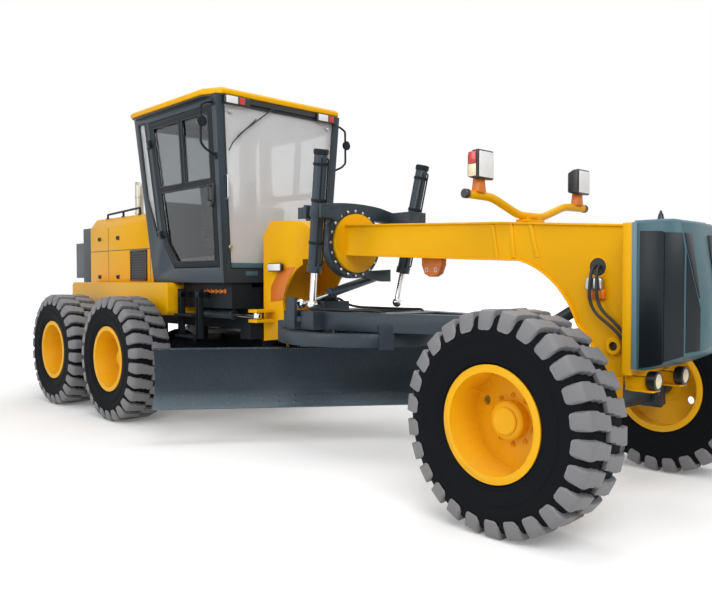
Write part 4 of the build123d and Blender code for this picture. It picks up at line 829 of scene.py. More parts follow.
class GRADER_OT_cab_fittings(bpy.types.Operator):
    """Make the cab's roof lamps, fascia, door handles and windscreen fittings"""
    bl_idname = "grader.cab_fittings"
    bl_label = "Cab Fittings"

    def execute(self, context):
        fascia = block((2182, -720, 3282), (2210, 720, 3339), 0.006)
        gutter = slab([(500, -838), (2006, -838), (2206, -732), (2206, 732), (2006, 838), (500, 838)], 3322, 3341,
                      "Z", 0.004)
        shells = [block((2186, y, 3246), (2234, y + 300, 3336), 0.014, 3) for y in (-720, 440)]
        done([fascia, *shells, gutter], "roof_fascia", "rear_machine", "Lamp shell")
        faces = [block((2230, y, 3256), (2239, y + 132, 3327)) for y in (-704, 456)]
        done(faces, "roof_lamp_faces", "rear_machine", "Lamp face")
        reds = [block((2230, y, 3258), (2239, y + 66, 3325)) for y in (-556, 602)]
        done(reds, "roof_lamp_reflectors", "rear_machine", "Red lens")
        pieces = [puck(24, 12, (cab_front(z) - 2, y, z), (1, 0, 0), rim=(5, 4))
                  for y, z in ((-626, 3190), (626, 3190), (-600, 1850), (600, 1850))]
        pieces.append(tube([(cab_front(2560) + 1, -668, 2560), (cab_front(2560) + 46, -672, 2550),
                            (cab_front(2330) + 46, -664, 2330), (cab_front(2320) + 1, -660, 2320)], 10, 30))
        done(pieces, "windscreen_fittings", "rear_machine", "Bright steel")
        y = cab_side(2400)
        mount = block((1975, y - 4, 2290), (2045, y + 8, 2480), 0.006)
        pull = tube([(2010, y + 4, 2460), (2010, y + 48, 2452), (2010, y + 46, 2312), (2010, y + 2, 2304)], 9, 26)
        lock = puck(16, 18, (2010, y + 4, 2262), (0, 1, 0), 20)
        for piece, (side, _) in zip(both(joined([mount, pull, lock])), SIDES):
            done(piece, f"door_handle_{side}", f"cab_door_{side}", "Moulded plastic")
        # The ledge under the windscreen is a shape. Its lighter box slate, against the cab's darker paint, is a painted
        # highlight along the top of the cab's base band.
        sill = block((2121, -590, 1640), (2136, 590, 1690))
        vents = [block((2116, y, 1560), (2130, y + 150, 1606), 0.006) for y in (-420, -75, 270)]
        done([sill, *vents], "windscreen_sill", "rear_machine", "Box paint")
        return {"FINISHED"}


LADDER_RAILS_X = (1270, 1640)
STEPS_Z = (905, 1130)
TREAD_STUD = [(15, 0), (15, 12), (11, 16), (9, 16), (9, 0)]
TREAD_STUDS = 9
STUD_PITCH = 39
MIRROR_FEET = ((786, 3262), (756, 2742))


class GRADER_OT_steps_and_mirrors(bpy.types.Operator):
    """Make the ladders and the mirrors' loops on both sides"""
    bl_idname = "grader.steps_and_mirrors"
    bl_label = "Steps and Mirrors"

    def execute(self, context):
        pieces = []
        for x in LADDER_RAILS_X:
            pieces.append(block((x - 30, 640, 905), (x - 18, 700, 1425), 0.003))
            pieces.append(block((x + 18, 640, 905), (x + 30, 700, 1425), 0.003))
            pieces.append(block((x - 30, 640, 905), (x + 30, 652, 1425), 0.003))
            pieces.append(block((x - 30, 562, 1330), (x + 30, 700, 1390), 0.005))
        for z in STEPS_Z:
            pieces.append(block((1272, 620, z), (1638, 760, z + 10), 0.003))
            for low, high in ((620, 632), (748, 760)):
                pieces.append(block((1272, low, z), (1638, high, z + 32), 0.003))
            for y in (665, 715):
                for step in range(TREAD_STUDS):
                    place = (1300 + step * STUD_PITCH, y, z + 8)
                    pieces.append(lathe(TREAD_STUD, place, (0, 0, 1), 14, closed=True))
        loop = tube([(2118, 786, 3262), (2124, 867, 3246), (2132, 927, 3209), (2132, 930, 2850), (2124, 881, 2800),
                     (2116, 754, 2742)], 12, 60, 12)
        mirror = lathe([(0, 0), (34, 0), (52, 10), (52, 22), (46, 28), (0, 30)], (2138, 928, 3050), (1, 0, 0), 32)
        feet = [block((2094, y - 6, z - 34), (2134, y + 10, z + 34), 0.006) for y, z in MIRROR_FEET]
        side = joined([*pieces, loop, mirror, *feet])
        done(both(side), "ladders_and_mirrors", "rear_machine", "Frame black", ["steps_and_mirrors"])
        glass = lathe([(0, 0), (44, 0), (44, 3), (0, 4)], (2136, 928, 3050), (-1, 0, 0), 32)
        done(both(glass), "mirror_glasses", "rear_machine", "Chrome")
        return {"FINISHED"}


def padded_cushion(low, high, crown, name):
    """A stuffed cushion blown up a little from a soft block, by no more than its crown in millimetres."""
    piece = block([a + crown for a in low], [b - crown for b in high], 0.03, 4)
    with_modifier(piece, "REMESH", mode="VOXEL", voxel_size=0.009)
    start = [vertex.co.copy() for vertex in piece.data.vertices]
    cloth = piece.modifiers.new("Stuffing", "CLOTH")
    cloth.settings.use_pressure = True
    cloth.settings.uniform_pressure_force = 4.0
    cloth.settings.effector_weights.gravity = 0.0
    for number in range(1, 21):
        bpy.context.scene.frame_set(number)
    bpy.ops.object.modifier_apply(modifier=cloth.name)
    bpy.context.scene.frame_set(1)
    for vertex, before in zip(piece.data.vertices, start):
        move = vertex.co - before
        if move.length > crown * MM:
            vertex.co = before + move.normalized() * crown * MM
    piece.name = name
    return with_modifier(piece, "SMOOTH", iterations=4)


SEAT_X = 1185.0
SEAT_CROWN = 14
FOLDS = 5
FOLD_HEIGHT = 50


class GRADER_OT_seat(bpy.types.Operator):
    """Make the operator's seat with its padded cushion and back"""
    bl_idname = "grader.seat"
    bl_label = "Seat"

    def execute(self, context):
        x = SEAT_X
        pieces = [block((x - 185, -170, 1552), (x + 155, 170, 1600), 0.01)]
        for step in range(FOLDS):
            z = 1600 + step * FOLD_HEIGHT
            grow = 14 if step % 2 == 0 else 0
            low, high = (x - 165 - grow, -150 - grow, z), (x + 135 + grow, 150 + grow, z + FOLD_HEIGHT)
            pieces.append(block(low, high, 0.016, 3))
        pieces.append(block((x - 225, -225, 1850), (x + 225, 225, 1884), 0.012))
        for y in (-262, 262):
            pieces.append(tube([(x - 190, y, 2080), (x + 60, y, 2090), (x + 100, y, 2080)], 26, 40, 16))
            post_y = y - math.copysign(30, y)
            pieces.append(tube([(x - 180, post_y, 1960), (x - 178, y, 2020), (x - 170, y, 2080)], 14, 30))
        done(pieces, "seat_base", "rear_machine", "Moulded plastic")
        cushion = padded_cushion((x - 250, -245, 1884), (x + 250, 245, 1996), SEAT_CROWN, "seat_cushion")
        done(cushion, "seat_cushion", "rear_machine", "Seat fabric", ["operator_seat"], smooth=180)
        back = padded_cushion((x - 300, -235, 1975), (x - 195, 235, 2720), SEAT_CROWN, "seat_back")
        moved(back, turn=Quaternion((0, 1, 0), math.radians(-10)).to_matrix(), centre=at(x - 245, 0, 2350))
        done(back, "seat_back", "rear_machine", "Seat fabric", smooth=180)
        return {"FINISHED"}


class GRADER_OT_levers(bpy.types.Operator):
    """Make the control levers and pedals"""
    bl_idname = "grader.levers"
    bl_label = "Levers"

    def execute(self, context):
        made = []
        for y in (-205, 205):
            for x in range(1722, 1837, 38):
                top = (x - 16, y, 2400)
                made.append(tube([(x, y, 2306), (x - 8, y, 2350), top], 5, 10, 8))
                made.append(lathe([(0, 0), (9, 2), (15, 14), (16, 26), (10, 38), (0, 41)], top, (-0.2, 0, 1), 16))
        for y in (-150, 90):
            made.append(block((1880, y, 1556), (1990, y + 70, 1572), 0.006))
            made.append(slab([(1890, 1572), (1990, 1640), (1996, 1630), (1898, 1562)], y + 4, y + 66))
        done(made, "levers", "rear_machine", "Moulded plastic")
        return {"FINISHED"}


# Hood and rear

HOOD_SIDE = 470
VENT_RIBS = 10
VENT_PITCH = 32
HOOD_RAIL_Y = 380
HOOD_RAIL_POSTS = (-1187, -725, -263)
REAR_LAMP_Y = 350


class GRADER_OT_hood_fittings(bpy.types.Operator):
    """Make the hood's side vents, rails, latches and seams and the rear lamps"""
    bl_idname = "grader.hood_fittings"
    bl_label = "Hood Fittings"

    def execute(self, context):
        y = HOOD_SIDE
        vent = [block((-338, y, 1510), (96, y + 5, 1890), 0.002)]
        for low, high in (((-338, y, 1510), (-312, y + 16, 1890)), ((70, y, 1510), (96, y + 16, 1890)),
                          ((-338, y, 1510), (96, y + 16, 1534)), ((-338, y, 1866), (96, y + 16, 1890))):
            vent.append(block(low, high))
        for step in range(VENT_RIBS):
            z = 1546 + step * VENT_PITCH
            rib = [(y + 4, z), (y + 4, z + 22), (y + 7, z + 24), (y + 17, z + 6), (y + 17, z)]
            vent.append(slab(rib, -320, 80, "X", 0.001, 1))
        done(both(joined(vent)), "hood_vents", "rear_machine", "Moulded plastic")
        radius = context.scene.grader_sizes.rail_radius / MM
        first, middle, last = HOOD_RAIL_POSTS
        rails = []
        for y in (-HOOD_RAIL_Y, HOOD_RAIL_Y):
            rails.append(tube([(first, y, 2334), (first, y, 2392), (last, y, 2424), (last, y, 2334)], radius, 50, 12))
            for x in HOOD_RAIL_POSTS:
                rails.append(lathe([(0, 0), (30, 0), (30, 6), (0, 7)], (x, y, 2337), (0, 0, 1), 20))
            rails.append(rod((middle, y, 2336), (middle, y, 2408), radius, 12))
        done(rails, "hood_rails", "rear_machine", "Frame black")
        side = []
        for x, z in ((-700, 1560), (-1250, 1560), (-700, 2060), (-1250, 2060), (300, 1700)):
            side.append(block((x - 40, HOOD_SIDE - 1, z - 26), (x + 40, HOOD_SIDE + 8, z + 26)))
            side.append(puck(13, 14, (x - 12, HOOD_SIDE + 6, z), (0, 1, 0), 18))
        for low, high in (((-984, 1500), (-976, 2205)), ((176, 1500), (184, 2205)), ((-1536, 1896), (556, 1904))):
            side.append(block((low[0], 468, low[1]), (high[0], 471.5, high[1]), 0.001, 1))
        done(both(joined(side)), "hood_latches", "rear_machine", "Trim rubber")
        lamps = [puck(52, 40, (-1848, y, 1440), (-1, 0, 0), 32, (6, 6)) for y in (-REAR_LAMP_Y, REAR_LAMP_Y)]
        done(lamps, "rear_lamp_shells", "rear_machine", "Lamp shell")
        lenses = [lathe([(0, 0), (43, 0), (43, 6), (20, 12), (0, 13)], (-1886, y, 1440), (-1, 0, 0), 32)
                  for y in (-REAR_LAMP_Y, REAR_LAMP_Y)]
        done(lenses, "rear_lamp_lenses", "rear_machine", "Red lens")
        grille = [block((-2204, -352, z), (-2196, 352, z + 7), 0.001, 1) for z in range(1638, 2000, 44)]
        for low, high in (((-380, 1570), (380, 1592)), ((-380, 2006), (380, 2028)), ((-380, 1570), (-358, 2028)),
                          ((358, 1570), (380, 2028))):
            grille.append(block((-2212, *low), (-2196, *high)))
        done(grille, "rear_grille", "rear_machine", "Frame black")
        collar = lathe([(56, 0), (84, 0), (84, 10), (62, 22), (56, 22)], (-1050, 0, 2338), (0, 0, 1), 36, closed=True)
        clamps = [hoop(55, 62, 0, 24, (-1050, 0, z), (0, 0, 1), 36) for z in (2420, 2640)]
        done([collar, *clamps], "exhaust_collar", "rear_machine", "Exhaust metal")
        return {"FINISHED"}


# Front machine


def arc_through(first, middle, last, count):
    """Places along the circle through three places of a side view, with its centre and radius."""
    (ax, az), (bx, bz), (cx, cz) = first, middle, last
    d = 2 * (ax * (bz - cz) + bx * (cz - az) + cx * (az - bz))
    a2, b2, c2 = ax * ax + az * az, bx * bx + bz * bz, cx * cx + cz * cz
    ox = (a2 * (bz - cz) + b2 * (cz - az) + c2 * (az - bz)) / d
    oz = (a2 * (cx - bx) + b2 * (ax - cx) + c2 * (bx - ax)) / d
    radius = math.hypot(ax - ox, az - oz)
    start, end = math.atan2(az - oz, ax - ox), math.atan2(cz - oz, cx - ox)
    turn = (end - start + math.pi) % (2 * math.pi) - math.pi
    angles = [start + turn * step / (count - 1) for step in range(count)]
    return [(ox + radius * math.cos(a), oz + radius * math.sin(a)) for a in angles], (ox, oz), radius


BEAM_SIDE = 155.0
FLANGE = 15.0
HOSE_HOLE = (5956, 0, 1600)
PIN_HOLE = (6087, 0, 1070)
RING_CENTRE = (3323, 0, 1860)
RING_BOLT_CIRCLE = 303.0
RING_BOLTS = 20


class GRADER_OT_beam_fittings(bpy.types.Operator):
    """Make the beam's flanges, ribs, lugs, hose hole and bosses"""
    bl_idname = "grader.beam_fittings"
    bl_label = "Beam Fittings"

    def execute(self, context):
        side = BEAM_SIDE
        top = [(3372, 2027), (5133, 1952), (6203, 1876), (6203, 1862), (5133, 1938), (3372, 2013)]
        low = [(3748, 1723), (5317, 1653), (5317, 1667), (3748, 1737)]
        near = [slab(edge, side - 4, side + 16) for edge in (top, low)]
        curve, middle, radius = arc_through((5317, 1653), (5602, 1498), (5800, 1200), 10)
        grow = (radius + FLANGE) / radius
        outer = [(middle[0] + (x - middle[0]) * grow, middle[1] + (z - middle[1]) * grow) for x, z in curve]
        for edge in (curve + outer[::-1], [(5800, 1200), (5947, 1020), (5960, 1028), (5814, 1210)]):
            near.append(slab(edge, side - 4, side + 18))
        for high_x, low_x in ((5047, 5106), (5216, 5263), (5386, 5466)):
            rib = [(high_x, 1936), (high_x + 34, 1936), (low_x + 20, 1676), (low_x - 18, 1676)]
            near.append(slab(rib, side - 4, side + 9, "Y", 0.006, 3))
        near.append(hoop(62, 72, side - 5, side + 3, HOSE_HOLE))
        boss = [(30, side - 5), (57, side - 5), (57, side + 26), (53, side + 30), (30, side + 30)]
        near.append(lathe(boss, PIN_HOLE, count=40, closed=True))
        done(both(joined(near)), "beam_flanges", "front_machine", "Body paint")
        # Near-black discs inside the hose hole and the pin hole: painted shade for the dark of the holes.
        holes = []
        for way in ((0, -1, 0), (0, 1, 0)):
            for radius, height, centre, count in ((62, side + 1, HOSE_HOLE, 36), (30, side + 12, PIN_HOLE, 28)):
                profile = [(0, side - 6), (radius, side - 6), (radius, height), (0, height)]
                holes.append(lathe(profile, centre, way, count))
        done(holes, "beam_hole_shade_discs", "front_machine", "Trim rubber")
        # The lug under the beam, the mount on its side and the sheet on the upright wear the painted-shade copy of the
        # body yellow. The sheet is a flat plate of painted shade over the lower front of the front frame's upright.
        lug = slab([(4210, 1715), (4438, 1706), (4438, 1640), (4404, 1566), (4352, 1541), (4296, 1541), (4244, 1566),
                    (4210, 1640)], -32, 32, "Y", 0.006)
        mount = slab([(5890, 1380), (6020, 1380), (6020, 1450), (5890, 1450)], -192, -156, "Y", 0.01, 3)
        shade_sheet = slab([(2440, 1300), (2640, 1320), (2720, 1500), (2830, 1640), (2700, 1640), (2560, 1600),
                       (2440, 1440)], -338, -329, "Y", 0.004)
        done([lug, mount, shade_sheet], "beam_lugs", "front_machine", "Painted-shade yellow")
        bright = [slab([(5881, 1444), (6010, 1444), (6010, 1515), (5990, 1533), (5900, 1533), (5881, 1515)],
                       -206, -156, "Y", 0.014, 3)]
        bright += [hoop(12, 20, -36, 36, (x, 0, 1600), count=24) for x in (4272, 4376)]
        for step in range(RING_BOLTS):
            turn = 2 * math.pi * step / RING_BOLTS
            x, y, z = RING_CENTRE
            place = (x, y + RING_BOLT_CIRCLE * math.cos(turn), z + RING_BOLT_CIRCLE * math.sin(turn))
            bright.append(puck(15, 15, place, (1, 0, 0), 6, (4, 3)))
        done(bright, "beam_clamp_and_bolts", "front_machine", "Bright steel")
        return {"FINISHED"}


NOSE_LAMP_X = 6352
NOSE_LAMP_Y = -200
NOSE_LAMP_Z = 868


class GRADER_OT_nose_box(bpy.types.Operator):
    """Make the front box's near-black sheets of painted shade, its cover and cone, and the lamps under it"""
    bl_idname = "grader.nose_box"
    bl_label = "Nose Box"

    def execute(self, context):
        # Thin near-black sheets over the box's side faces and corners, on both sides: painted shade for the faces
        # turned from the light.
        inset = slab([(6324, 948), (6474, 985), (6484, 1000), (6484, 1802), (6470, 1814), (6324, 1820)], 286, 295)
        slope = [(6484, 289, 1002), (6586, 233, 1042), (6586, 233, 1700), (6574, 240, 1800), (6484, 289, 1806)]
        corner = [(6593, 225, 1062), (6645, 136, 1075), (6645, 136, 1335), (6593, 225, 1690)]
        brow = [(6638, 120, 1400), (6638, 142, 1400), (6594, 218, 1700), (6580, 228, 1800), (6580, 120, 1800)]
        panels = [flat_panel(slope, Vector((60, 110, 0)).normalized() * 5), flat_panel(corner, (4.3, 2.5, 0)),
                  flat_panel(brow, (5, 0, 0.7))]
        done(both(inset, *panels), "nose_box_shade_sheets", "front_machine", "Painted shade black")
        strip = slab([(6273, 940), (6306, 940), (6306, 1878), (6273, 1878)], 286, 298)
        cover = slab([(6276, -276), (6462, -276), (6520, -238), (6520, 238), (6462, 276), (6276, 276)], 1878, 1890,
                     "Z", 0.005)
        done([*both(strip), cover], "nose_box_trim", "front_machine", "Trim paint")
        cone = lathe([(0, 0), (32, 0), (32, 8), (25, 12), (15, 58), (11, 62), (6, 80), (0, 82)], (6322, 0, 1888),
                     (0, 0, 1), 28)
        x, y, z = NOSE_LAMP_X, NOSE_LAMP_Y, NOSE_LAMP_Z
        shell = lathe([(0, 0), (58, 0), (62, 8), (62, 60), (50, 66), (46, 60), (0, 60)], (x, y, z), (1, 0, 0), 36)
        done([cone, *both(shell)], "nose_marker_and_lamp_shells", "front_machine", "Lamp shell")
        lens = lathe([(0, 0), (47, 0), (47, 4), (24, 14), (0, 17)], (x + 59, y, z), (1, 0, 0), 36)
        done(both(lens), "nose_lamp_lenses", "front_machine", "Cream lens")
        shelf = block((6240, y - 56, z - 72), (6400, y + 56, z - 60), 0.003)
        foot = block((6200, y - 30, z - 72), (x + 4, y + 30, z + 22))
        done(both(shelf, foot), "nose_lamp_brackets", "front_machine", "Body paint")
        return {"FINISHED"}


LAMP_BAR_X = 5300
BAR_LAMP_Y = 640


class GRADER_OT_lamp_bar(bpy.types.Operator):
    """Make the lamp bar over the beam with its two lamps"""
    bl_idname = "grader.lamp_bar"
    bl_label = "Lamp Bar"

    def execute(self, context):
        x = LAMP_BAR_X
        bends = ((-756, 2102), (-474, 2098), (-150, 1992), (150, 1992), (474, 2098), (756, 2102))
        bar = tube([(x, y, z) for y, z in bends], 30, 150, 20)
        foot = slab([(x - 50, -118), (x + 50, -118), (x + 50, 118), (x - 50, 118)], 1944, 1966, "Z", 0.004)
        saddle = [block((x - 42, y - 20, 1958), (x + 42, y + 20, 2012), 0.008) for y in (-70, 70)]
        done([bar, foot, *saddle], "lamp_bar_tube", "front_machine", "Body paint", ["lamp_bar"])
        shells, brackets, faces, reds, creams = [], [], [], [], []
        for side in (-1, 1):
            y = side * BAR_LAMP_Y
            wedge = [(y - 42, 2118), (y + 42, 2118), (y + 26, 2215), (y - 26, 2215)]
            brackets.append(slab(wedge, x - 22, x + 46, "X", 0.005))
            sections = []
            for along, half, low, high in ((-40, 66, 2224, 2382), (22, 88, 2206, 2402), (76, 92, 2202, 2406)):
                corners = ((y - half, low), (y + half, low), (y + half, high), (y - half, high))
                sections.append([at(x + along, across, z) for across, z in corners])
            shells.append(loft(sections, 0.014, 3))
            shells.append(puck(33, 36, (x, side * 752, 2102), (0, side, 0), rim=(5, 6)))
            faces.append(block((x + 74, y - 78, 2216), (x + 82, y + 78, 2392), 0.006))
            low, high = sorted((side * 732, side * 739))
            reds.append(block((x - 4, low, 2308), (x + 62, high, 2388), 0.003))
            creams.append(block((x - 4, low, 2220), (x + 62, high, 2304), 0.003))
        # The lamps' brackets wear the painted-shade copy of the body yellow.
        for pieces, part, finish in ((shells, "shells", "Lamp shell"), (brackets, "brackets", "Painted-shade yellow"),
                                     (faces, "faces", "Lamp face"), (reds, "reds", "Red lens"),
                                     (creams, "clears", "Cream lens")):
            done(pieces, f"bar_lamp_{part}", "front_machine", finish)
        return {"FINISHED"}


LIFT_BASE = Vector((3505, 600, 2110))
LIFT_RUN = (Vector((3350, 540, 1295)) - LIFT_BASE).normalized()
LIFT_PIPE_OUT = 72
LIFT_PIPE_END = 50


def lift_pipe(angle):
    """A pipe along the left lift ram, at an angle round it."""
    way = Vector((math.cos(angle), math.sin(angle), 0))
    low, high = LIFT_BASE + LIFT_RUN * 470, LIFT_BASE + LIFT_RUN * -440
    out, end = way * LIFT_PIPE_OUT, way * LIFT_PIPE_END
    return tube([high + end - LIFT_RUN * 14, high + out, low + out, low + end + LIFT_RUN * 14], 8, 20, 8)


class GRADER_OT_saddle_fittings(bpy.types.Operator):
    """Make the work lamps, the saddle's valve and the pipes of the lift rams"""
    bl_idname = "grader.saddle_fittings"
    bl_label = "Saddle Fittings"

    def execute(self, context):
        shell = loft([
            [at(2470, -332, 1612), at(2660, -332, 1612), at(2660, -332, 1670), at(2470, -332, 1670)],
            [at(2448, -388, 1596), at(2682, -388, 1596), at(2682, -388, 1686), at(2448, -388, 1686)],
        ], 0.016, 3)
        done(both(shell), "work_lamp_shells", "front_machine", "Lamp shell")
        face = slab([(2464, 1608), (2666, 1608), (2666, 1674), (2464, 1674)], 385, 392, "Y", 0.005)
        done(both(face), "work_lamp_faces", "front_machine", "Lamp face")
        knob = [(0, 0), (26, 0), (26, 20), (20, 26), (14, 30), (14, 48), (0, 50)]
        # The valve block wears the painted-shade copy of the body yellow.
        valve = [block((1580, -556, 1320), (2040, -400, 1484), 0.012, 3)]
        valve += [lathe(knob, (x, -548, 1400), (0, -1, 0), 6) for x in range(1630, 1967, 84)]
        done(valve, "valve_block", "rear_machine", "Painted-shade yellow")
        for name, sign in SIDES:
            pipes = [lift_pipe(sign * angle) for angle in (-0.5, 0.5)]
            for along in (-420, -110, 260):
                pipes.append(hoop(56, 64, 0, 26, LIFT_BASE + LIFT_RUN * along, LIFT_RUN, 32))
            cap = [(0, 0), (61, 0), (66, 6), (66, 40), (60, 46), (0, 46)]
            pipes.append(lathe(cap, LIFT_BASE + LIFT_RUN * -532, LIFT_RUN, 32))
            piece = joined(pipes)
            if sign < 0:
                flip(piece)
            done(piece, f"lift_ram_pipes_{name}", f"lift_barrel_{name}", "Frame black")
        return {"FINISHED"}


# Blade group

CIRCLE_X = 3460.0
BLADE_TURN = math.radians(37.3)
BLADE_RUN = Vector((math.sin(BLADE_TURN), math.cos(BLADE_TURN), 0))
BLADE_REAR = Vector((-BLADE_RUN.y, BLADE_RUN.x, 0))
BLADE_MIDDLE = -118.2
CURVE_R = 415.0
HALF_CURVE = 305.0 / CURVE_R
CURVE_START = -(math.radians(8) + HALF_CURVE)
CURVE_V = 74.9 - CURVE_R * math.cos(CURVE_START)
CURVE_Z = 321.0 - CURVE_R * math.sin(CURVE_START)
EDGE_BOLTS = 24
EDGE_BOLT_RUN = 1770.0
SHIFT_ROD_ALONG = math.radians(42) * CURVE_R
SHIFT_ROD_OUT = 65.0


def on_blade(u, radius, along):
    """A place by its distance along the blade, from its centre of curvature and up its curve."""
    angle = CURVE_START + along / CURVE_R
    v, z = CURVE_V + radius * math.cos(angle), CURVE_Z + radius * math.sin(angle)
    place = BLADE_RUN * (u + BLADE_MIDDLE) + BLADE_REAR * v
    return (CIRCLE_X + place.x, place.y, z)


def blade_inward(along):
    """The way from the blade's face towards its centre of curvature."""
    angle = CURVE_START + along / CURVE_R
    way = BLADE_REAR * -math.cos(angle)
    return (way.x, way.y, -math.sin(angle))


class GRADER_OT_blade_fittings(bpy.types.Operator):
    """Make the cutting edge's bolts, the bright shift rod and the circle's motor"""
    bl_idname = "grader.blade_fittings"
    bl_label = "Blade Fittings"

    def execute(self, context):
        bolts = []
        for along in (62, 118):
            for step in range(EDGE_BOLTS):
                u = EDGE_BOLT_RUN * (2 * step / (EDGE_BOLTS - 1) - 1)
                bolts.append(puck(15, 5, on_blade(u, CURVE_R - 16, along), blade_inward(along), 12, (6, 3), -3))
        done(bolts, "edge_bolts", "moldboard", "Blade steel")
        start, end = (on_blade(u, CURVE_R + SHIFT_ROD_OUT, SHIFT_ROD_ALONG) for u in (-1500, -480))
        done(rod(start, end, 20.2, 24), "shift_rod_chrome", "moldboard", "Chrome")
        housing = [(0, 0), (86, 0), (86, 18), (70, 26), (70, 52), (62, 60), (0, 60)]
        motor = [lathe(housing, (2955, 0, 1308), (0, 0, 1), 36)]
        motor += [puck(16, 26, (2955, side * 66, 1334), (0, side, 0), 6) for side in (-1, 1)]
        done(motor, "circle_motor", "drawbar", "Frame black", slot="dark_paint")
        return {"FINISHED"}


# Hoses

MOTOR_HOSE = (
    (2955, 88, 1334), (2955, 122, 1333), (2968, 160, 1306), (3010, 215, 1264), (3080, 290, 1246), (3170, 340, 1243),
    (3260, 352, 1243), (3500, 352, 1242), (3760, 350, 1243), (3900, 300, 1250), (3960, 260, 1232), (3990, 240, 1218),
)
HOSES = (
    ("nose_hose_near", "front_machine", 0.011,
     ((5940, -150, 1606), (5936, -192, 1600), (5934, -216, 1540), (5930, -222, 1440), (5926, -212, 1370),
      (5970, -206, 1280), (6080, -204, 1206), (6160, -200, 1130), (6184, -190, 1050), (6178, -150, 975),
      (6172, -106, 940))),
    ("nose_hose_far", "front_machine", 0.011,
     ((5972, -150, 1606), (5974, -192, 1600), (5978, -216, 1540), (5984, -222, 1440), (5984, -212, 1380),
      (6020, -206, 1300), (6120, -200, 1220), (6182, -190, 1140), (6196, -180, 1050), (6192, -150, 985),
      (6190, -106, 930))),
    ("motor_hose_left", "drawbar", 0.012, MOTOR_HOSE),
    ("motor_hose_right", "drawbar", 0.012, tuple((x, -y, z) for x, y, z in MOTOR_HOSE)),
)


def run_length(route):
    """The length of the smooth line through a hose's control points."""
    copy = route.data.copy()
    copy.bevel_depth = 0
    helper = bpy.data.objects.new("measure", copy)
    mesh = bpy.data.meshes.new_from_object(helper)
    total = sum((mesh.vertices[edge.vertices[0]].co - mesh.vertices[edge.vertices[1]].co).length for edge in mesh.edges)
    bpy.data.objects.remove(helper)
    bpy.data.meshes.remove(mesh)
    return total


class GRADER_OT_hoses(bpy.types.Operator):
    """Make the hydraulic hoses on the nose and the drawbar"""
    bl_idname = "grader.hoses"
    bl_label = "Hoses"

    def execute(self, context):
        for name, body, radius, places in HOSES:
            hose = smooth_line([at(*place) for place in places], radius, 12, 3)
            hose.data.materials.clear()
            hose.data.materials.append(FINISHES["Trim rubber"])
            hose.name = name
            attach(hose, body)
            run_length(hose)
        return {"FINISHED"}


# Stage

CAMERA_AT = (6.288, -4.699, 1.503)
CAMERA_TURN = (88.28, 0.0, 45.21)
CAMERA_LENS = 37.38
CAMERA_SHIFT_X = -0.0478
LIGHT_AIM = Vector((0.5, 0.0, 1.0))
# Name, place, size in metres and watts
LAMPS = (
    ("key_lamp", (9.0, -5.5, 7.5), 6.0, 620.0),
    ("side_lamp", (-2.0, -11.0, 6.0), 7.0, 420.0),
    ("top_lamp", (0.5, 1.0, 10.0), 9.0, 520.0),
)
ROOM_LIGHT = 0.34
FLOOR_WHITE = 0.93


def backdrop_material(name):
    """A plain pale floor that turns white, for the camera, a reflection or a window, away from the machine."""
    material = bpy.data.materials.new(name)
    material.use_nodes = True
    tree = material.node_tree
    shader = tree.nodes["Principled BSDF"]
    shader.inputs["Roughness"].default_value = 0.9
    shader.inputs["Emission Color"].default_value = (1.0, 1.0, 1.0, 1)
    place = place_of(tree)
    tone = remap(tree, noise(tree, place, 0.6, 3.0), 0.0, 1.0, FLOOR_WHITE - 0.01, FLOOR_WHITE)
    tree.links.new(tone, shader.inputs["Base Color"])
    distance = add_node(tree, "VectorMath", {0: place}, operation="LENGTH").outputs["Value"]
    glow = remap(tree, distance, 3.5, 11.0, 0.12, 1.0)
    tree.links.new(maths(tree, "MULTIPLY", seen_directly(tree), glow), shader.inputs["Emission Strength"])
    return material


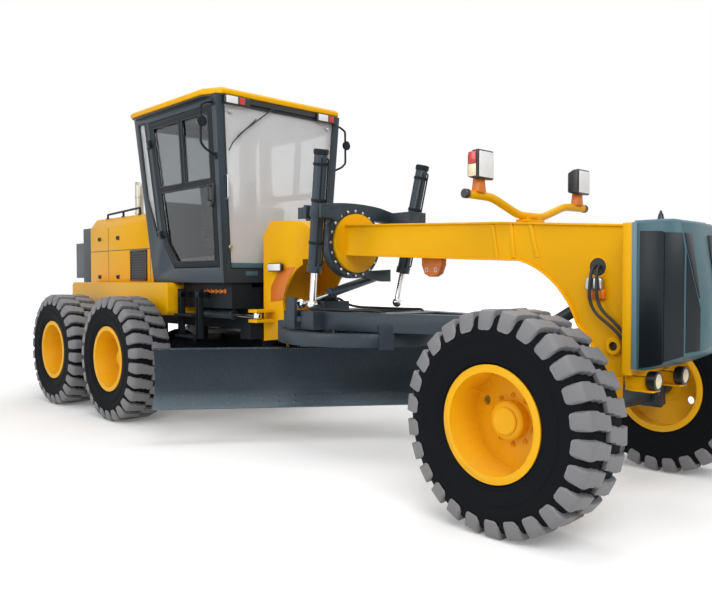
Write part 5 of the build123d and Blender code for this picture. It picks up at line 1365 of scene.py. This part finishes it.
class GRADER_OT_stage(bpy.types.Operator):
    """Make the floor, the soft lamps, the world and the camera"""
    bl_idname = "grader.stage"
    bl_label = "Stage"

    def execute(self, context):
        clear()
        bpy.ops.mesh.primitive_plane_add(size=90, location=(0, 0, 0))
        floor = context.object
        floor.name = "floor"
        floor.data.materials.append(backdrop_material("Pale floor"))
        for name, place, size, energy in LAMPS:
            bpy.ops.object.light_add(type="AREA", location=place)
            lamp = context.object
            lamp.name = name
            lamp.data.size = size
            lamp.data.energy = energy
            lamp.rotation_mode = "QUATERNION"
            lamp.rotation_quaternion = (LIGHT_AIM - Vector(place)).to_track_quat("-Z", "Y")
        world = bpy.data.worlds.new("Pale room")
        context.scene.world = world
        world.use_nodes = True
        tree = world.node_tree
        sky = tree.nodes["Background"]
        sky.inputs["Color"].default_value = (1.0, 1.0, 1.0, 1)
        tree.links.new(remap(tree, seen_directly(tree), 0.0, 1.0, ROOM_LIGHT, 1.0), sky.inputs["Strength"])
        bpy.ops.object.camera_add(location=CAMERA_AT, rotation=[math.radians(turn) for turn in CAMERA_TURN])
        camera = context.object
        camera.name = "camera"
        camera.data.sensor_width = 36.0
        camera.data.lens = CAMERA_LENS
        camera.data.shift_x = CAMERA_SHIFT_X
        camera.data.clip_start = 0.1
        camera.data.clip_end = 300.0
        context.scene.camera = camera
        context.scene.view_settings.view_transform = "Standard"
        return {"FINISHED"}


OPERATORS = (
    GRADER_OT_stage, GRADER_OT_finishes, GRADER_OT_hoses, GRADER_OT_tyres, GRADER_OT_wheel_nuts,
    GRADER_OT_window_strips, GRADER_OT_cab_fittings, GRADER_OT_steps_and_mirrors, GRADER_OT_seat, GRADER_OT_levers,
    GRADER_OT_hood_fittings, GRADER_OT_beam_fittings, GRADER_OT_nose_box, GRADER_OT_lamp_bar,
    GRADER_OT_saddle_fittings, GRADER_OT_blade_fittings,
)


class GRADER_PT_pieces(bpy.types.Panel):
    bl_label = "Motor Grader"
    bl_idname = "GRADER_PT_pieces"
    bl_space_type = "VIEW_3D"
    bl_region_type = "UI"
    bl_category = "Grader"

    def draw(self, context):
        for group in (context.scene.grader_colours, context.scene.grader_sizes):
            for name in group.__annotations__:
                self.layout.prop(group, name)
        for operator in OPERATORS:
            self.layout.operator(operator.bl_idname)


CLASSES = (GraderColours, GraderSizes, *OPERATORS, GRADER_PT_pieces)


def register():
    for made in CLASSES:
        bpy.utils.register_class(made)
    bpy.types.Scene.grader_colours = bpy.props.PointerProperty(type=GraderColours)
    bpy.types.Scene.grader_sizes = bpy.props.PointerProperty(type=GraderSizes)


def unregister():
    del bpy.types.Scene.grader_sizes
    del bpy.types.Scene.grader_colours
    for made in reversed(CLASSES):
        bpy.utils.unregister_class(made)


def main():
    register()
    for operator in OPERATORS:
        group, name = operator.bl_idname.split(".")
        getattr(getattr(bpy.ops, group), name)()


if __name__ == "__main__":
    main()
